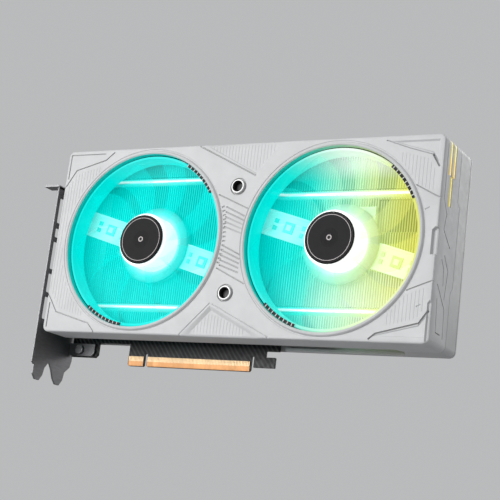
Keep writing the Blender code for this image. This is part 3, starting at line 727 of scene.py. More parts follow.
def build_mount(side, centre, finishes):
    """The motor's carrier: a disc and two straps with raised edges, darker marks and a post at each end."""
    shape = bmesh.new()
    base = [(0, 15.8), (3.3, 15.8), (3.3, 6.0), (4.5, 6.0), (4.5, 15.8), (17.5, 15.8), (17.5, 17.4),
            (0, 17.4)]
    lathe(shape, base, centre, 48)
    along = Vector((math.cos(STRAP_TILT), math.sin(STRAP_TILT)))
    across = Vector((-along.y, along.x))
    middle = Vector(centre)

    def patch(reach, width, y, mark=0):
        corners = [middle + along * r + across * w for r, w in
                   ((reach[0], width[0]), (reach[1], width[0]), (reach[1], width[1]), (reach[0], width[1]))]
        for made in prism(shape, [tuple(corner) for corner in corners], y):
            made.material_index = mark

    for way in (-1.0, 1.0):
        inner, outer = 15.0 * way, 56.0 * way
        patch((inner, outer), (-7.5, 7.5), (15.9, 17.3))
        for w in (-7.5, 6.3):
            patch((24.0 * way, outer), (w, w + 1.2), (14.8, 16.0))
        for r, long, w, wide in MARKS:
            patch((r * way, (r + long) * way), (w, w + wide), (15.3, 16.0), 1)
        patch((33.6 * way, 36.8 * way), (-1.6, 1.6), (14.9, 15.7))
        post = middle + along * way * 54.5
        pin = [(0, FACE + GAP), (2.0, FACE + GAP), (2.4, 4.0), (2.4, 17.0), (0, 17.0)]
        lathe(shape, pin, tuple(post), 20)
    if side == "right":
        x, z = centre
        plate = box(shape, (x + 4.0, x + 19.0), (16.1, 17.1), (z, z + 21.8))
        for made in plate + box(shape, (x + 17.8, x + 19.0), (15.2, 16.2), (z + 6.8, z + 21.8)):
            made.material_index = 1
    piece(f"{side}_carrier", shape, finishes,
          replaces=[f"{side}_fan_mount"], bevel=0.15)


def build_accents(finish):
    """Three lit bars set into the end face, each with a softly crowned front."""
    shape = bmesh.new()
    walk = Walk(rounded((0.0, COVER_L), (0.0, COVER_H), CORNER_R))
    half = ACCENT_W / 2
    crown = [(1.6, -half), (0.35, -half), (0.1, -half * 0.6), (0.1, half * 0.6), (0.35, half), (1.6, half)]
    for y, z in ACCENTS:
        start, stop = accent_ends(walk, z)
        stops = [start, *(s for s in walk.starts if start + 0.1 < s < stop - 0.1), stop]
        sections = [[shape.verts.new(unrolled(walk, (s, y + across), inset)) for inset, across in crown]
                    for s in stops]
        for section, after in zip(sections, sections[1:]):
            bridge(shape, section, after)
        shape.faces.new(sections[0])
        shape.faces.new(sections[-1])
    outward(shape)
    piece("accent_bars", shape, finish, replaces=["accent_light"], bevel=0.15)


def build_fans(looks):
    for side, x in FANS.items():
        centre = (x, FAN_Z)
        build_rotor(side, centre, [looks["blade"], looks["band"], looks["hub"]])
        build_cap(side, centre, [looks["disc"], looks["rim"], looks["hairline"]])
        build_mount(side, centre, [looks["carrier"], looks["carrier_mark"]])
        # Painted shade in the gap between each rotor's band and its opening: a black ring behind the cover
        # and black arcs in front of the band, with lighter ticks across the arcs
        gap_shade = bmesh.new()
        lathe(gap_shade, [(52.0, 3.4), (52.2, 3.1), (56.0, 3.1), (56.0, 5.0), (52.0, 5.0)], centre, 96)
        for start, end in SLOTS[side]:
            outline = arc(centre, SLOT_R[1], start, end, 16) + arc(centre, SLOT_R[0], end, start, 16)
            prism(gap_shade, outline, (0.9, 1.4))
            for k in range(round((end - start) / TICK_PITCH)):
                turn = start + TICK_PITCH * (k + 0.5)
                tick = arc(centre, SLOT_R[1], turn, turn + TICK, 1)
                tick += arc(centre, SLOT_R[0], turn + TICK, turn, 1)
                for made in prism(gap_shade, tick, (0.75, 1.0)):
                    made.material_index = 1
        piece(f"{side}_seal", gap_shade, [looks["rim"], looks["frame_plastic"]])
        glow = bmesh.new()
        ring = [(17.0, 14.3), (17.6, 14.1), (22.4, 14.1), (23.0, 14.4), (23.0, 15.5), (17.0, 15.5)]
        lathe(glow, ring, centre, 72)
        piece(f"{side}_halo", glow, looks["halo"], replaces=[f"{side}_light_ring"])


# ---------------------------------------------------------------- heatsink
# PIPES gives each front pipe's height at the left fan, at the right fan, and on its way back behind.

FIN_COUNT = 139
SHORT_FINS = 12
SHORT_DEPTH = 0.9
FLANGE_T = 0.3
FIN_T = 0.35
FLANGE_W = 0.8
PIPE_R = 2.7
PIPE_Y = (21.9, 27.4)
PIPE_X = (140.0, 228.0)
PIPE_BEND = (21.0, 10.0)
PIPE_STEP = (102.0, 146.0)
PIPES = {"lower": (20.0, 20.0, 38.0), "upper": (98.0, 87.0, 68.0)}
NOTCH = (-3.0, 2.0)
NOTCH_BACK = 24.2
SOCKET_ROOM = ((146.5, 175.5), 93.0, 23.8)
SUNK_FRONT = ((203.5, 229.0), (64.0, 82.6), 1.1)


def pipe_height(name, x):
    """Height of a heat pipe's front run: it steps gently from one level to the other between the fans."""
    share = min(max((x - PIPE_STEP[0]) / (PIPE_STEP[1] - PIPE_STEP[0]), 0.0), 1.0)
    left, right, _ = PIPES[name]
    return left + (right - left) * share * share * (3.0 - 2.0 * share)


def tube(shape, path, radius, steps=16):
    """A round bar along a smooth path, with flat ends."""
    around = Vector((0.0, 1.0, 0.0))
    rings = []
    for k, point in enumerate(path):
        way = (path[min(k + 1, len(path) - 1)] - path[max(k - 1, 0)]).normalized()
        around = (around - way * around.dot(way)).normalized()
        beside = way.cross(around)
        turns = [TURN * j / steps for j in range(steps)]
        rings.append([shape.verts.new(point + (around * math.cos(turn) + beside * math.sin(turn)) * radius)
                      for turn in turns])
    shape.faces.new(rings[0])
    shape.faces.new(rings[-1][::-1])
    for near, far in zip(rings, rings[1:]):
        for j in range(steps):
            shape.faces.new((near[j], near[j - 1], far[j - 1], far[j]))
    outward(shape)


def build_pipes(finish):
    """The two front heat pipes, each bent round behind the fins at its left end."""
    for name, (left, _, back) in PIPES.items():
        bend_x, reach = PIPE_BEND
        steps = round((PIPE_X[1] - bend_x) / 3.0)
        xs = [PIPE_X[1] - 3.0 * k for k in range(steps)]
        path = [Vector((x, PIPE_Y[0], pipe_height(name, x))) for x in xs]
        front, rear = Vector((bend_x, PIPE_Y[0], left)), Vector((bend_x, PIPE_Y[1], back))
        centre, arm = (front + rear) / 2, (front - rear) / 2
        for k in range(17):
            turn = math.pi * k / 16
            path.append(centre + arm * math.cos(turn) - Vector((reach * math.sin(turn), 0.0, 0.0)))
        path.append(Vector((PIPE_X[0], PIPE_Y[1], back)))
        shape = bmesh.new()
        tube(shape, path, PIPE_R)
        piece(f"{name}_pipe", shape, finish, replaces=[f"heat_pipe_{name}"], bevel=0.4)


def fin_bands(x, low, high):
    """A fin's front edges at x, between its foot and its top: the gaps are the notches for the pipes."""
    lower, upper = pipe_height("lower", x), pipe_height("upper", x)
    return [(low, lower + NOTCH[0]), (lower + NOTCH[1], upper + NOTCH[0]), (upper + NOTCH[1], high)]


def build_fins(finish, baffle):
    """Thin upright fins with folded front flanges, notched where the two front heat pipes lie."""
    low, high = card_box("fin_stack")
    shape = bmesh.new()
    pitch = (high.x - low.x - FLANGE_W) / (FIN_COUNT - 1)
    for k in range(-SHORT_FINS, 0):
        x = low.x + pitch * k
        for start, end in fin_bands(x, low.z, high.z):
            box(shape, (x, x + FIN_T), (low.y, low.y + SHORT_DEPTH), (start, end))
            box(shape, (x + FIN_T, x + FLANGE_W), (low.y, low.y + FLANGE_T), (start, end))
    for k in range(FIN_COUNT):
        x = low.x + pitch * k
        bands = fin_bands(x, low.z, high.z)
        fronts = [(start, end, low.y) for start, end in bands]
        if SUNK_FRONT[0][0] < x < SUNK_FRONT[0][1]:
            start, end = SUNK_FRONT[1]
            fronts[1:2] = [(bands[1][0], start, low.y), (start, end, low.y + SUNK_FRONT[2]),
                           (end, bands[1][1], low.y)]
        outline = [(high.y, high.z), (high.y, low.z)]
        if SOCKET_ROOM[0][0] < x + FLANGE_W and x < SOCKET_ROOM[0][1]:
            outline[:1] = [(SOCKET_ROOM[2], high.z), (SOCKET_ROOM[2], SOCKET_ROOM[1]),
                           (high.y, SOCKET_ROOM[1])]
        for i, (start, end, y) in enumerate(fronts):
            if i and fronts[i - 1][1] < start:
                outline += [(NOTCH_BACK, fronts[i - 1][1]), (NOTCH_BACK, start)]
            outline += [(y, start), (y, end)]
            box(shape, (x + FIN_T, x + FLANGE_W), (y, y + FLANGE_T), (start, end))
        prism(shape, outline, (x, x + FIN_T), "X")
    piece("fins", shape, finish, replaces=["fin_stack"])
    sheet = bmesh.new()
    outline = rounded((low.x - 20.0, low.x - GAP), (low.z, high.z), 1.5, 3)
    prism(sheet, outline, (low.y + SHORT_DEPTH, low.y + SHORT_DEPTH + 0.4))
    piece("baffle", sheet, baffle, bevel=0.1)


# ---------------------------------------------------------------- board, rear plate and small parts

BOARD_Y = (35.5, 37.1)
TONGUE = [(41.2, 51.8), (54.6, 125.2)]
PAD_PITCH = 1.0
PAD_W = 0.82
PAD_Z = (-9.9, -7.2)
WINDOW = ((51.0, 119.0), (18.0, 86.0))
SOCKETS = ["hdmi_socket"] + [f"display_socket_{k}" for k in (1, 2, 3)]
VENT_X = [190.0 + 7.5 * k for k in range(6)]
VENT_Z = (30.0, 74.0)
VENT_W = 4.0


def build_contacts(gold, copper):
    """Edge contacts on both faces: gold fingers with round lower ends over a chamfered copper edge."""
    for name, face, way in (("front", BOARD_Y[0], -1.0), ("rear", BOARD_Y[1], 1.0)):
        shape = bmesh.new()
        for start, end in TONGUE:
            section = [(face + way * 0.02, -9.5), (face + way * 0.32, -9.5), (face + way * 0.32, -11.4),
                       (face + way * 0.12, -13.0), (face + way * 0.02, -13.0)]
            for made in prism(shape, section, (start, end), "X"):
                made.material_index = 1
            count = round((end - start) / PAD_PITCH)
            for k in range(count):
                middle = start + (end - start) * (k + 0.5) / count
                finger = [(middle - PAD_W / 2, PAD_Z[1]), (middle + PAD_W / 2, PAD_Z[1])]
                finger += arc((middle, PAD_Z[0]), PAD_W / 2, 0.0, -180.0, 5)
                prism(shape, finger, sorted((face + way * 0.04, face + way * 0.44)))
        piece(f"{name}_fingers", shape, [gold, copper],
              replaces=[f"{name}_contacts"], bevel=0.05)


def build_rear_parts(ceramic, tin, black):
    """Small soldered parts on the board's rear face, seen through the window of the rear plate."""
    random.seed(7)
    shape = bmesh.new()
    face = BOARD_Y[1] + 0.02
    taken = [(x, z, 5.5) for x in (57.0, 113.0) for z in (24.0, 80.0)]
    kinds = [((1.0, 0.5, 0.5), 0)] * 5 + [((1.7, 0.9, 0.9), 0)] * 4
    kinds += [((2.3, 1.6, 0.9), 2)] * 2 + [((3.6, 2.6, 1.1), 2)]
    for _ in range(900):
        (long, wide, high), kind = random.choice(kinds)
        half = (long, wide) if random.random() < 0.5 else (wide, long)
        x = random.uniform(WINDOW[0][0] + 3.0, WINDOW[0][1] - 3.0)
        z = random.uniform(WINDOW[1][0] + 3.0, WINDOW[1][1] - 3.0)
        reach = math.hypot(*half) + 0.5
        if any(math.hypot(x - a, z - b) < reach + c for a, b, c in taken):
            continue
        taken.append((x, z, reach))
        for made in box(shape, (x - half[0], x + half[0]), (face, face + high), (z - half[1], z + half[1])):
            made.material_index = kind
        lie = 0 if half[0] > half[1] else 1
        for way in (-1.0, 1.0):
            span = [[x - half[0], x + half[0]], [z - half[1], z + half[1]]]
            edge = span[lie][0] if way < 0 else span[lie][1]
            span[lie] = sorted((edge - way * 0.28 * long, edge + way * 0.12))
            span[1 - lie] = [span[1 - lie][0] - 0.06, span[1 - lie][1] + 0.06]
            for made in box(shape, span[0], (face, face + high * (1.06 if kind == 0 else 0.4)), span[1]):
                made.material_index = 1
    piece("rear_parts", shape, [ceramic, tin, black], bevel=0.05)


def thicken(shape, opposite):
    """Close a skin into a sheet; opposite gives the place across the sheet from a point of the skin."""
    made = bmesh.ops.extrude_face_region(shape, geom=list(shape.faces), use_keep_orig=True)
    for item in made["geom"]:
        if isinstance(item, bmesh.types.BMVert):
            item.co = opposite(item.co)


def build_rear_plate(finishes):
    """The rear plate: a sheet with a chamfered edge, panel lines with painted shade in them, a window and
    upright vents.
    """
    low, high = card_box("backplate")
    outline = rounded((low.x, high.x), (low.z, high.z), CORNER_R)
    rim = 0.45
    relief = Relief()
    relief.recess(outline, -rim, 0.5)
    holes = [rounded((x, x + VENT_W), VENT_Z, 1.2, 3) for x in VENT_X] + [rounded(*WINDOW, 1.0, 3)]
    for hole in holes:
        relief.recess(hole, 0.3, 0.3)
        relief.hole(shifted(hole, 0.3))
    for x, z in PLATE_SCREWS:
        relief.ring((x, z), [(3.5, -rim), (3.05, 0.35), (1.8, 0.35)], 28)
    relief.recess(rounded((46.0, 124.0), (12.0, 92.0), 3.0, 3), 0.35, 0.5)
    for path in ([(130.0, 6.0), (142.0, 18.0), (176.0, 18.0), (186.0, 8.0), (228.0, 8.0)],
                 [(130.0, 107.0), (142.0, 95.0), (176.0, 95.0), (186.0, 105.0), (228.0, 105.0)],
                 [(28.0, 106.0), (38.0, 99.0), (112.0, 99.0), (120.0, 106.0)],
                 [(28.0, 7.0), (38.0, 5.6), (112.0, 5.6), (120.0, 7.0)],
                 [(8.0, 20.0), (20.0, 32.0), (20.0, 74.0), (8.0, 86.0)],
                 [(132.0, 30.0), (150.0, 48.0), (150.0, 66.0), (132.0, 84.0)],
                 [(160.0, 30.0), (178.0, 48.0), (178.0, 66.0), (160.0, 84.0)]):
        relief.groove(path, 0.9, 0.6)
    for k in range(6):
        x = 134.0 + 3.2 * k
        relief.groove([(x, 56.0 - 6.0), (x + 8.0, 56.0 + 6.0)], 1.1, 0.6, 0.4)
    shape = bmesh.new()
    skin_onto(shape, relief, outline, lambda p: (p[0], high.y - rim - relief.depth(p), p[1]))
    thicken(shape, lambda co: (co.x, PLATE_Y[0], co.z))
    for x, z in PLATE_SCREWS[:2]:
        spacer = [(1.8, low.y), (3.6, low.y), (3.6, PLATE_Y[0] + 0.2), (1.8, PLATE_Y[0] + 0.2)]
        lathe(shape, spacer, (x, z), 28)
    piece("rear_plate", outward(shape), finishes, replaces=["backplate"])


def build_bracket(finish):
    """The slot bracket: a sheet with two fingers, a grille and socket holes, a top tab and a flange."""
    outer, inner, chamfer = -4.6, -3.4, 0.22
    low, high = card_box("slot_bracket")
    outline = [(low.y, high.z - 0.6), (low.y, -18.5), (1.9, -20.0), (1.9, -25.5), (4.6, low.z), (8.8, low.z)]
    outline += [(11.4, -25.0), (12.4, -20.5), (15.8, -16.4), (19.0, -20.5), (21.6, -25.5), (24.6, low.z)]
    outline += [(28.6, low.z), (31.4, -25.0), (32.3, -19.9), (36.8, -16.1), (high.y, -12.0)]
    outline.append((high.y, high.z - 0.6))
    relief = Relief()
    relief.recess(outline, -chamfer, chamfer)
    holes = [rounded((2.2, 17.4), z, 0.9, 3) for z in ((8, 22), (24.5, 36.5), (39, 56.5), (59, 65), (68, 84))]
    for name in SOCKETS:
        mouth_low, mouth_high = card_box(name)
        span_y, span_z = ((mouth_low[k] - GAP, mouth_high[k] + GAP) for k in (1, 2))
        holes.append(rounded(span_y, span_z, 0.6, 3))
    for hole in holes:
        relief.recess(hole, chamfer, chamfer)
        relief.hole(shifted(hole, chamfer))
    shape = bmesh.new()
    skin_onto(shape, relief, outline, lambda p: (inner - chamfer - relief.depth(p), p[0], p[1]))
    thicken(shape, lambda co: (outer + inner - co.x, co.y, co.z))
    top, bend = high.z, 1.2
    section = [(low.x, top), (low.x, top - bend), (inner - bend, top - bend), (inner - bend, top - 2 * bend)]
    section += [(inner, top - 2 * bend)] + arc((inner - bend, top - bend), bend, 0.0, 90.0, 4)
    spans = [low.y] + [edge for y in (9.5, 28.5) for edge in (y - 2.2, y + 2.2)] + [high.y]
    for start, end in zip(spans[::2], spans[1::2]):
        box(shape, (low.x, low.x + 5.2), (start, end), (top - bend, top))
    prism(shape, [(max(x, low.x + 5.2), z) for x, z in section], (low.y, high.y))
    flange = [(inner - 0.4, -8.6), (13.5, -8.6), (15.5, -6.6), (15.5, -1.0), (inner - 0.4, -1.0)]
    prism(shape, flange, (BOARD_Y[0] - GAP - bend, BOARD_Y[0] - GAP))
    piece("bracket_sheet", outward(shape), finish, replaces=["slot_bracket"])


def dress(names, finish, width):
    """Give CAD nodes a finish, and round their edges."""
    for name in names:
        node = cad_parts[name]
        mesh = node.data
        mesh.materials.clear()
        mesh.materials.append(finish)
        if "custom_normal" in mesh.attributes:
            mesh.attributes.remove(mesh.attributes["custom_normal"])
        mesh.shade_smooth()
        weld = node.modifiers.new("weld", "WELD")
        weld.merge_threshold = 0.002 * MM
        soften(node, width)


def build_power_pins(steel):
    """Eight contact pins inside the power socket."""
    shape = bmesh.new()
    for y in (27.4, 32.2):
        for k in range(4):
            x = 153.5 + 5.0 * k
            box(shape, (x - 0.6, x + 0.6), (y - 0.6, y + 0.6), (97.2, 105.5))
    piece("power_pins", shape, steel, bevel=0.15)


# ---------------------------------------------------------------- finishes

class Finish:
    """A procedural material: one Principled shader and the nodes that drive it."""

    def __init__(self, name, colour, roughness=0.5, metallic=0.0, **sockets):
        self.material = bpy.data.materials.new(name)
        self.material.use_nodes = True
        self.tree = self.material.node_tree
        self.shader = self.tree.nodes["Principled BSDF"]
        self.last_normal = None
        self.place = self.node("TexCoord").outputs["Object"]
        sockets = {"Base Color": (*colour, 1.0), "Roughness": roughness, "Metallic": metallic, **sockets}
        for key, value in sockets.items():
            self.shader.inputs[key.replace("_", " ")].default_value = value

    def node(self, kind, inputs=None, **settings):
        made = self.tree.nodes.new("ShaderNode" + kind)
        for key, value in settings.items():
            setattr(made, key, value)
        for key, value in (inputs or {}).items():
            if isinstance(value, bpy.types.NodeSocket):
                self.tree.links.new(value, made.inputs[key])
            else:
                made.inputs[key].default_value = value
        return made

    def drive(self, socket, value):
        self.tree.links.new(value, self.shader.inputs[socket])
        return self

    def noise(self, scale, stretch=(1.0, 1.0, 1.0), detail=2.0):
        place = self.node("Mapping", {"Vector": self.place, "Scale": stretch}).outputs[0]
        return self.node("TexNoise", {"Vector": place, "Scale": scale, "Detail": detail}).outputs["Fac"]

    def ramp(self, factor, stops):
        """A colour, or a grey, by a factor; stops are (position, colour or grey)."""
        made = self.node("ValToRGB", {"Fac": factor})
        elements = made.color_ramp.elements
        while len(elements) < len(stops):
            elements.new(1.0)
        for element, (position, colour) in zip(elements, stops):
            element.position = position
            element.color = (*colour, 1.0) if isinstance(colour, tuple) else (colour, colour, colour, 1.0)
        return made.outputs["Color"]

    def scaled(self, value, low, high):
        """A value between low and high brought to the range 0 to 1."""
        made = self.node("MapRange", {"Value": value, "From Min": low, "From Max": high})
        return made.outputs["Result"]

    def mix(self, factor, first, second, blend="MIX"):
        made = self.node("Mix", data_type="RGBA", blend_type=blend)
        for key, value in ((0, factor), (6, first), (7, second)):
            if isinstance(value, bpy.types.NodeSocket):
                self.tree.links.new(value, made.inputs[key])
            else:
                made.inputs[key].default_value = (*value, 1.0) if isinstance(value, tuple) else value
        return made.outputs[2]

    def math(self, operation, first, second=0.0):
        return self.node("Math", {0: first, 1: second}, operation=operation).outputs[0]

    def mottle(self, colour, spread=0.06, scale=60.0, stretch=(1.0, 1.0, 1.0)):
        """Uneven colour, a little darker and lighter than the given one."""
        darker, lighter = (tuple(c * (1.0 + way * spread) for c in colour) for way in (-1.0, 1.0))
        stops = [(0.3, darker), (0.7, lighter)]
        return self.drive("Base Color", self.ramp(self.noise(scale, stretch, 4.0), stops))

    def polish(self, low, high, scale=400.0, stretch=(1.0, 1.0, 1.0)):
        """Uneven roughness between low and high."""
        return self.drive("Roughness", self.ramp(self.noise(scale, stretch), [(0.3, low), (0.7, high)]))

    def grain(self, scale, height, stretch=(1.0, 1.0, 1.0), strength=0.5):
        """Fine relief, height millimetres deep."""
        values = {"Height": self.noise(scale, stretch, 3.0), "Distance": height * MM, "Strength": strength}
        if self.last_normal:
            values["Normal"] = self.last_normal
        self.last_normal = self.node("Bump", values).outputs[0]
        return self.drive("Normal", self.last_normal)

    def fan_light(self, stops, depth=None):
        """The fans' light at a place: its hue along the card, white and bright close to a motor.

        Stops give (millimetres from the nearer fan's axis, share of white, brightness).
        """
        place = self.node("NewGeometry").outputs["Position"]
        x, y, _ = self.node("SeparateXYZ", {0: place}).outputs
        hue = self.ramp(self.scaled(x, *HUE_SPAN), HUES)
        flat = self.node("VectorMath", {0: place, 1: (1.0, 0.0, 1.0)}, operation="MULTIPLY").outputs[0]
        ways = []
        for fan_x in FANS.values():
            axis = at(fan_x, 0.0, FAN_Z)
            away = self.node("VectorMath", {0: flat, 1: (axis.x, 0.0, axis.z)}, operation="DISTANCE")
            ways.append(away.outputs["Value"])
        away = self.scaled(self.math("MINIMUM", *ways), 0.0, LIGHT_REACH * MM)
        white = self.ramp(away, [(r / LIGHT_REACH, share) for r, share, _ in stops])
        bright = self.ramp(away, [(r / LIGHT_REACH, brightness) for r, _, brightness in stops])
        light = self.mix(1.0, self.mix(white, hue, (1.0, 1.0, 1.0)), bright, "MULTIPLY")
        # Painted shade: between the first and second depth, in millimetres back, the light dims to the share
        # given last
        if depth:
            deep = self.scaled(y, at(0, depth[0], 0).y, at(0, depth[1], 0).y)
            fade = self.ramp(deep, [(0.0, 1.0), (1.0, depth[2])])
            light = self.mix(1.0, light, fade, "MULTIPLY")
        return light


# The light's hues along the card, between two places in metres
HUE_SPAN = (0.060, 0.150)
HUES = [(0.0, (0.0, 0.80, 0.75)), (0.22, (0.02, 0.82, 0.71)), (0.44, (0.40, 0.86, 0.60)),
        (0.64, (0.68, 0.84, 0.40)), (0.82, (0.74, 0.77, 0.18)), (1.0, (0.78, 0.72, 0.12))]
LIGHT_REACH = 80.0


def make_finishes():
    made = {}

    def plastic(name, colour, low, high, grain=0.02, **sockets):
        made[name] = Finish(name, colour, **sockets).mottle(colour, 0.04)
        made[name].polish(low, high).grain(2600.0, grain)

    def metal(name, colour, low, high, stretch, grain=0.008, **sockets):
        made[name] = Finish(name, colour, metallic=1.0, **sockets).mottle(colour, 0.1, 160.0, stretch)
        made[name].polish(low, high, 700.0, stretch).grain(1500.0, grain, stretch)

    plastic("cover", (0.60, 0.607, 0.61), 0.46, 0.58, 0.016, Specular_IOR_Level=0.3)
    # Painted shade: a darker grey for the cover's deep grooves and the groove round each eyelet's collar
    plastic("seam", (0.47, 0.472, 0.475), 0.55, 0.65, 0.016)
    plastic("collar", (0.86, 0.86, 0.86), 0.22, 0.34, 0.01)
    plastic("frame_plastic", (0.54, 0.545, 0.545), 0.42, 0.54, 0.016)
    # Painted shade: a dark grey for the rear plate's deep grooves
    plastic("plate_groove_shade", (0.22, 0.222, 0.225), 0.55, 0.65, 0.016)
    plastic("disc", (0.018, 0.018, 0.019), 0.50, 0.54, 0.006, Specular_IOR_Level=0.08)
    plastic("rim", (0.004, 0.004, 0.005), 0.35, 0.50, 0.01, Specular_IOR_Level=0.15)
    plastic("hairline", (0.34, 0.30, 0.30), 0.30, 0.40, 0.01)
    # Black plastic parts, and the painted shade inside the cover's eyelets
    plastic("dark_plastic_and_eyelet_shade", (0.018, 0.018, 0.019), 0.45, 0.60, 0.02)
    plastic("package", (0.03, 0.035, 0.032), 0.40, 0.55, 0.01)
    plastic("silicon", (0.20, 0.21, 0.24), 0.08, 0.16, 0.0)
    plastic("pad", (0.30, 0.31, 0.34), 0.75, 0.90, 0.04)
    plastic("ceramic", (0.36, 0.24, 0.14), 0.35, 0.50, 0.01)
    plastic("magnet", (0.05, 0.05, 0.052), 0.50, 0.65, 0.03)
    metal("steel", (0.42, 0.42, 0.43), 0.26, 0.40, (1.0, 1.0, 1.0))
    metal("dark_steel", (0.20, 0.20, 0.205), 0.38, 0.52, (0.15, 1.0, 6.0), Specular_IOR_Level=0.3)
    metal("socket_steel", (0.50, 0.50, 0.49), 0.24, 0.36, (0.2, 3.0, 3.0))
    metal("tin", (0.62, 0.62, 0.60), 0.28, 0.45, (1.0, 1.0, 1.0))
    metal("brass", (0.66, 0.46, 0.20), 0.24, 0.36, (1.0, 1.0, 1.0))
    metal("winding", (0.66, 0.30, 0.14), 0.25, 0.40, (1.0, 8.0, 1.0))
    metal("nickel", (0.60, 0.58, 0.55), 0.22, 0.36, (6.0, 1.0, 0.3))
    metal("gold", (0.76, 0.54, 0.31), 0.36, 0.46, (1.0, 1.0, 0.3), 0.004)
    metal("copper", (0.52, 0.25, 0.09), 0.36, 0.48, (1.0, 1.0, 0.3), 0.004)
    for name in ("gold", "copper"):
        made[name].shader.inputs["Metallic"].default_value = 0.4
    plastic("plate_metal", (0.60, 0.606, 0.61), 0.38, 0.50, 0.02)
    metal("choke", (0.16, 0.16, 0.16), 0.45, 0.60, (1.0, 1.0, 1.0), 0.04)
    made["choke"].shader.inputs["Metallic"].default_value = 0.4

    # The board: dark solder mask over a slanting weave of fine tracks
    board = made["board"] = Finish("board", (0.03, 0.03, 0.03), **{"Specular IOR Level": 0.2})
    slant = {"Vector": board.place, "Rotation": (0.0, math.radians(38.0), 0.0)}
    turned = board.node("Mapping", slant).outputs[0]
    wave = board.node("TexWave", {"Vector": turned, "Scale": 130.0, "Distortion": 1.2, "Detail": 2.0})
    tracks = wave.outputs["Fac"]
    mask = board.ramp(tracks, [(0.45, (0.008, 0.008, 0.009)), (0.85, (0.045, 0.046, 0.047))])
    board.drive("Base Color", mask)
    board.polish(0.30, 0.45)
    weave = board.node("Bump", {"Height": tracks, "Distance": 0.03 * MM, "Strength": 0.5}).outputs[0]
    board.drive("Normal", weave)

    accent = made["accent"] = Finish("accent", (0.80, 0.58, 0.08), 0.4, **{"Emission Strength": 0.55})
    accent.mottle((0.52, 0.38, 0.05), 0.08, 300.0).grain(1200.0, 0.01)
    height = accent.node("SeparateXYZ", {0: accent.node("NewGeometry").outputs["Position"]}).outputs["Z"]
    glow = accent.ramp(accent.scaled(height, at(0, 0, ACCENTS[2][1][0]).z, at(0, 0, COVER_H).z),
                       [(0.0, (0.56, 0.50, 0.07)), (0.42, (0.62, 0.55, 0.08)), (0.46, (0.84, 0.55, 0.07)),
                        (0.64, (0.82, 0.58, 0.10)), (0.76, (0.70, 0.66, 0.20)), (1.0, (0.66, 0.65, 0.24))])
    speck = accent.ramp(accent.noise(120.0), [(0.3, 0.9), (0.7, 1.0)])
    accent.drive("Emission Color", accent.mix(1.0, glow, speck, "MULTIPLY"))

    def crowned(look, light):
        """The light with a white glow near the top and foot of the openings, strongest in the right one."""
        x, _, height = look.node("SeparateXYZ", {0: look.node("NewGeometry").outputs["Position"]}).outputs
        white = look.ramp(look.scaled(height, at(0, 0, 5.0).z, at(0, 0, 109.0).z),
                          [(0.0, 0.25), (0.18, 0.5), (0.42, 0.0), (0.86, 0.0), (0.94, 0.7), (1.0, 0.95)])
        share = look.ramp(look.scaled(x, *HUE_SPAN), [(0.0, 0.05), (0.15, 0.2), (0.5, 1.0), (1.0, 0.7)])
        return look.mix(look.math("MULTIPLY", white, share), light, (1.0, 1.0, 0.96)), height

    # Lit parts: the light's own colour where it falls, fading away from the motors
    def lit(name, colour, roughness, strength, stops, depth=None, **sockets):
        look = made[name] = Finish(name, colour, roughness, **{"Emission Strength": strength, **sockets})
        light = look.fan_light(stops, depth)
        look.drive("Emission Color", light)
        return look, light

    look, light = lit("blade", (0.0, 0.5, 0.5), 0.3, 0.7,
                      [(15.0, 0.7, 1.0), (17.0, 0.2, 0.85), (20.0, 0.0, 0.80), (51.5, 0.0, 0.8)], Alpha=0.12,
                      Specular_IOR_Level=0.03)
    look.drive("Base Color", light).polish(0.25, 0.4, 90.0).grain(500.0, 0.02)
    look, light = lit("band", (0.0, 0.5, 0.5), 0.3, 0.62, [(46.0, 0.0, 1.0), (52.0, 0.0, 1.0)],
                      Alpha=0.85, Specular_IOR_Level=0.06)
    light, _ = crowned(look, light)
    look.drive("Emission Color", light)
    look.drive("Base Color", look.mix(0.6, light, (0.0, 0.16, 0.15)))
    look.polish(0.3, 0.45, 90.0).grain(500.0, 0.02)
    look, light = lit("hub", (0.8, 0.9, 0.9), 0.4, 0.66, [(10.0, 0.9, 1.0), (17.0, 0.85, 1.0)], Alpha=0.95)
    look.drive("Base Color", light).polish(0.3, 0.45).grain(900.0, 0.01)
    look, light = lit("carrier", (0.5, 0.8, 0.8), 0.4, 0.60,
                      [(15.0, 0.45, 1.0), (17.5, 0.3, 0.95), (20.0, 0.2, 0.95), (34.0, 0.38, 1.0),
                       (48.0, 0.3, 0.9), (58.0, 0.1, 0.4)], Specular_IOR_Level=0.2)
    look.drive("Base Color", look.mix(0.5, light, (0.12, 0.5, 0.48))).polish(0.35, 0.5).grain(1800.0, 0.02)
    look, light = lit("carrier_mark", (0.1, 0.5, 0.5), 0.4, 0.62,
                      [(15.0, 0.3, 0.9), (24.0, 0.04, 0.8), (50.0, 0.0, 0.8)])
    look.drive("Base Color", look.mix(0.5, light, (0.0, 0.3, 0.28))).polish(0.35, 0.5).grain(1800.0, 0.02)
    look, light = lit("halo", (0.5, 0.8, 0.8), 0.6, 0.72,
                      [(16.0, 0.45, 0.95), (19.0, 0.08, 0.76), (23.0, 0.0, 0.60)])
    look.drive("Base Color", look.mix(0.5, light, (0.02, 0.2, 0.2))).grain(1500.0, 0.02)
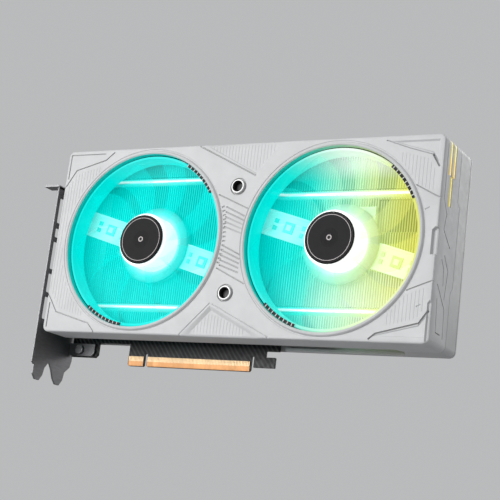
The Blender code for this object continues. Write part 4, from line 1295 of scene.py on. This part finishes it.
    # The openings' inner walls: a dark teal painted shade, with a little of the fans' light in their colour
    # and glow
    look, light = lit("throat", (0.1, 0.2, 0.2), 0.5, 0.03, [(40.0, 0.0, 1.0), (54.0, 0.0, 1.0)])
    look.drive("Base Color", look.mix(0.25, light, (0.03, 0.05, 0.05))).polish(0.4, 0.55).grain(1800.0, 0.016)
    look, light = lit("baffle", (0.1, 0.3, 0.3), 0.5, 0.4,
                      [(20.0, 0.2, 1.0), (52.0, 0.0, 0.9), (62.0, 0.0, 0.3)])
    look.drive("Base Color", look.mix(0.4, light, (0.02, 0.25, 0.24))).polish(0.4, 0.55).grain(900.0, 0.02)
    look, light = lit("fins", (0.6, 0.6, 0.6), 0.4, 0.52,
                      [(14.0, 0.5, 1.1), (18.0, 0.1, 1.0), (23.0, 0.0, 0.90), (50.0, 0.0, 0.82),
                       (64.0, 0.0, 0.1)], (18.2, 23.0, 0.58), Specular_IOR_Level=0.04)
    light, height = crowned(look, light)
    # Painted shade: the fins' light fades out towards their foot, below 9 mm, and is nearly gone on faces
    # that point downwards
    foot = look.scaled(height, at(0, 0, 3.0).z, at(0, 0, 9.0).z)
    light = look.mix(1.0, light, look.ramp(foot, [(0.2, 0.0), (0.6, 0.5), (1.0, 1.0)]), "MULTIPLY")
    facing = look.node("SeparateXYZ", {0: look.node("NewGeometry").outputs["Normal"]}).outputs["Z"]
    upper = look.ramp(look.scaled(facing, -1.0, 0.0), [(0.2, 0.03), (0.5, 1.0)])
    light = look.mix(1.0, light, upper, "MULTIPLY")
    streaks = look.ramp(look.noise(900.0, (1.0, 1.0, 0.02)), [(0.3, 0.86), (0.7, 1.0)])
    tint = look.mix(1.0, light, streaks, "MULTIPLY")
    look.drive("Emission Color", tint).drive("Base Color", look.mix(0.4, tint, (0.0, 0.14, 0.13)))
    look.polish(0.3, 0.45, 500.0, (1.0, 1.0, 0.05))

    pipes = made["pipes"] = Finish("pipes", (0.6, 0.6, 0.6), 0.24, **{"Emission Strength": 0.9})
    light = pipes.fan_light([(14.0, 0.9, 1.0), (30.0, 0.3, 1.0), (46.0, 0.05, 0.9), (62.0, 0.0, 0.5)])
    # Painted highlight: where a pipe faces sideways its light turns white, and it is brightest from there to
    # a little upwards, a bright streak along each pipe
    upward = pipes.node("SeparateXYZ", {0: pipes.node("NewGeometry").outputs["Normal"]}).outputs["Z"]
    turned_up = pipes.scaled(upward, -1.0, 1.0)
    streak = pipes.ramp(turned_up, [(0.30, 0.7), (0.50, 1.0), (0.70, 1.0), (0.90, 0.7)])
    shine = pipes.ramp(turned_up, [(0.30, 0.0), (0.45, 0.7), (0.58, 0.7), (0.72, 0.0)])
    shone = pipes.mix(1.0, pipes.mix(shine, light, (1.0, 1.0, 1.0)), streak, "MULTIPLY")
    # The fans' light on the pipes stops between 56 and 63 mm from the nearer fan's axis
    dark = pipes.fan_light([(14.0, 1.0, 1.0), (56.0, 1.0, 1.0), (63.0, 1.0, 0.0)])
    pipes.drive("Emission Color", pipes.mix(1.0, shone, dark, "MULTIPLY"))
    pipes.drive("Base Color", pipes.mix(0.3, light, (0.30, 0.42, 0.40))).polish(0.2, 0.32)
    pipes.shader.inputs["Metallic"].default_value = 0.8

    floor = made["floor"] = Finish("floor", (0.5, 0.5, 0.5), 0.7)
    floor.mottle((0.34, 0.34, 0.345), 0.02, 3.0).polish(0.6, 0.75, 20.0)
    return {name: look.material for name, look in made.items()}


# ---------------------------------------------------------------- studio
# The camera's place is in card millimetres, and the floor and lamps are in the frame's own axes.

FLOOR_Z = -210.0
FLOOR_HALF = 6000.0
CAMERA_AT = (491.0, -609.4, -109.7)
CAMERA_TURN = math.radians(30.19)
CAMERA_RISE = math.radians(-12.74)
CAMERA_ROLL = math.radians(7.09)
CAMERA_LENS = 93.45


def at(x, y, z):
    return Vector((x, y, z)) * MM + ZERO


def build_camera():
    turn, rise, roll = CAMERA_TURN, CAMERA_RISE, CAMERA_ROLL
    back = Vector((math.sin(turn) * math.cos(rise), -math.cos(turn) * math.cos(rise), math.sin(rise)))
    right = Vector((math.cos(turn), math.sin(turn), 0.0))
    up = back.cross(right)
    across = right * math.cos(roll) + up * math.sin(roll)
    upward = up * math.cos(roll) - right * math.sin(roll)
    camera = bpy.data.objects.new("camera", bpy.data.cameras.new("camera"))
    bpy.context.collection.objects.link(camera)
    axes = Matrix((across, upward, back)).transposed().to_4x4()
    camera.matrix_world = Matrix.Translation(at(*CAMERA_AT)) @ axes
    camera.data.lens = CAMERA_LENS
    bpy.context.scene.camera = camera


def lamp(name, place, target, size, power):
    """A soft square light that faces a point."""
    light = bpy.data.lights.new(name, "AREA")
    light.size = size
    light.energy = power
    thing = bpy.data.objects.new(name, light)
    thing.location = place
    thing.rotation_mode = "QUATERNION"
    thing.rotation_quaternion = (Vector(target) - Vector(place)).to_track_quat("-Z", "Y")
    bpy.context.collection.objects.link(thing)


def build_studio(floor_finish):
    """A pale floor well below the card, which the camera looks up at, and soft lights round it."""
    shape = bmesh.new()
    corners = [(-1.0, -1.0), (1.0, -1.0), (1.0, 1.0), (-1.0, 1.0)]
    places = [Vector((x * FLOOR_HALF, y * FLOOR_HALF, FLOOR_Z)) * MM for x, y in corners]
    shape.faces.new([shape.verts.new(point) for point in places])
    mesh = bpy.data.meshes.new("floor")
    shape.to_mesh(mesh)
    shape.free()
    mesh.materials.append(floor_finish)
    floor = bpy.data.objects.new("floor", mesh)
    bpy.context.collection.objects.link(floor)

    world = bpy.data.worlds.new("studio")
    bpy.context.scene.world = world
    world.use_nodes = True
    sky = world.node_tree.nodes["Background"]
    sky.inputs["Color"].default_value = (0.94, 0.95, 0.96, 1.0)
    sky.inputs["Strength"].default_value = 0.52
    middle = (0.04, 0.0, 0.06)
    lamp("key", (-0.9, -1.9, 0.4), middle, 1.1, 34.0)
    lamp("side", (1.9, -0.7, 0.5), middle, 0.9, 1.2)
    lamp("back", (0.5, 1.8, 1.0), middle, 1.2, 14.0)
    bpy.context.scene.view_settings.view_transform = "Standard"


# CAD nodes that show as they are, with their finish and the width of their rounded edges
DRESSED = [
    (["heat_pipe_middle"], "pipes", 0.4),
    (["heatsink_base"], "nickel", 0.3),
    (["circuit_board"], "board", 0.2),
    (["cover_bracket"], "dark_steel", 0.2),
    (SOCKETS, "socket_steel", 0.15),
    (["power_socket"], "dark_plastic_and_eyelet_shade", 0.25),
    (["fan_header"] + [f"memory_chip_{k}" for k in (1, 2, 3, 4)], "dark_plastic_and_eyelet_shade", 0.15),
    ([f"power_choke_{k}" for k in (1, 2, 3, 4)], "choke", 0.5),
    (["gpu_package"], "package", 0.15),
    (["gpu_die"], "silicon", 0.05),
    (["thermal_pad_left", "thermal_pad_right"], "pad", 0.1),
    ([f"{kind}_screw_{k}" for kind in ("backplate", "gpu") for k in (1, 2, 3, 4)], "steel", 0.2),
    (["bracket_screw"], "steel", 0.2),
    # The screws in the cover's eyelets: dark screws, made black as painted shade inside the eyelets
    (["shroud_screw_lower", "shroud_screw_upper"], "dark_plastic_and_eyelet_shade", 0.2),
]
for part, look, width in (("fan_bearing", "brass", 0.1), ("fan_shaft", "steel", 0.1),
                          ("motor_stator", "winding", 0.2), ("rotor_magnet", "magnet", 0.1)):
    DRESSED.append(([f"{side}_{part}" for side in FANS], look, width))


def main():
    looks = make_finishes()
    build_camera()
    build_studio(looks["floor"])
    build_cover([looks[name] for name in ("cover", "seam", "dark_plastic_and_eyelet_shade", "collar", "throat")])
    build_end_frame(looks["frame_plastic"])
    build_accents(looks["accent"])
    build_fans(looks)
    build_fins(looks["fins"], looks["baffle"])
    build_pipes(looks["pipes"])
    build_contacts(looks["gold"], looks["copper"])
    build_rear_parts(looks["ceramic"], looks["tin"], looks["dark_plastic_and_eyelet_shade"])
    build_rear_plate([looks["plate_metal"], looks["plate_groove_shade"], looks["plate_metal"], looks["plate_metal"]])
    build_bracket(looks["dark_steel"])
    build_power_pins(looks["tin"])

    for names, look, width in DRESSED:
        dress(names, looks[look], width)


main()
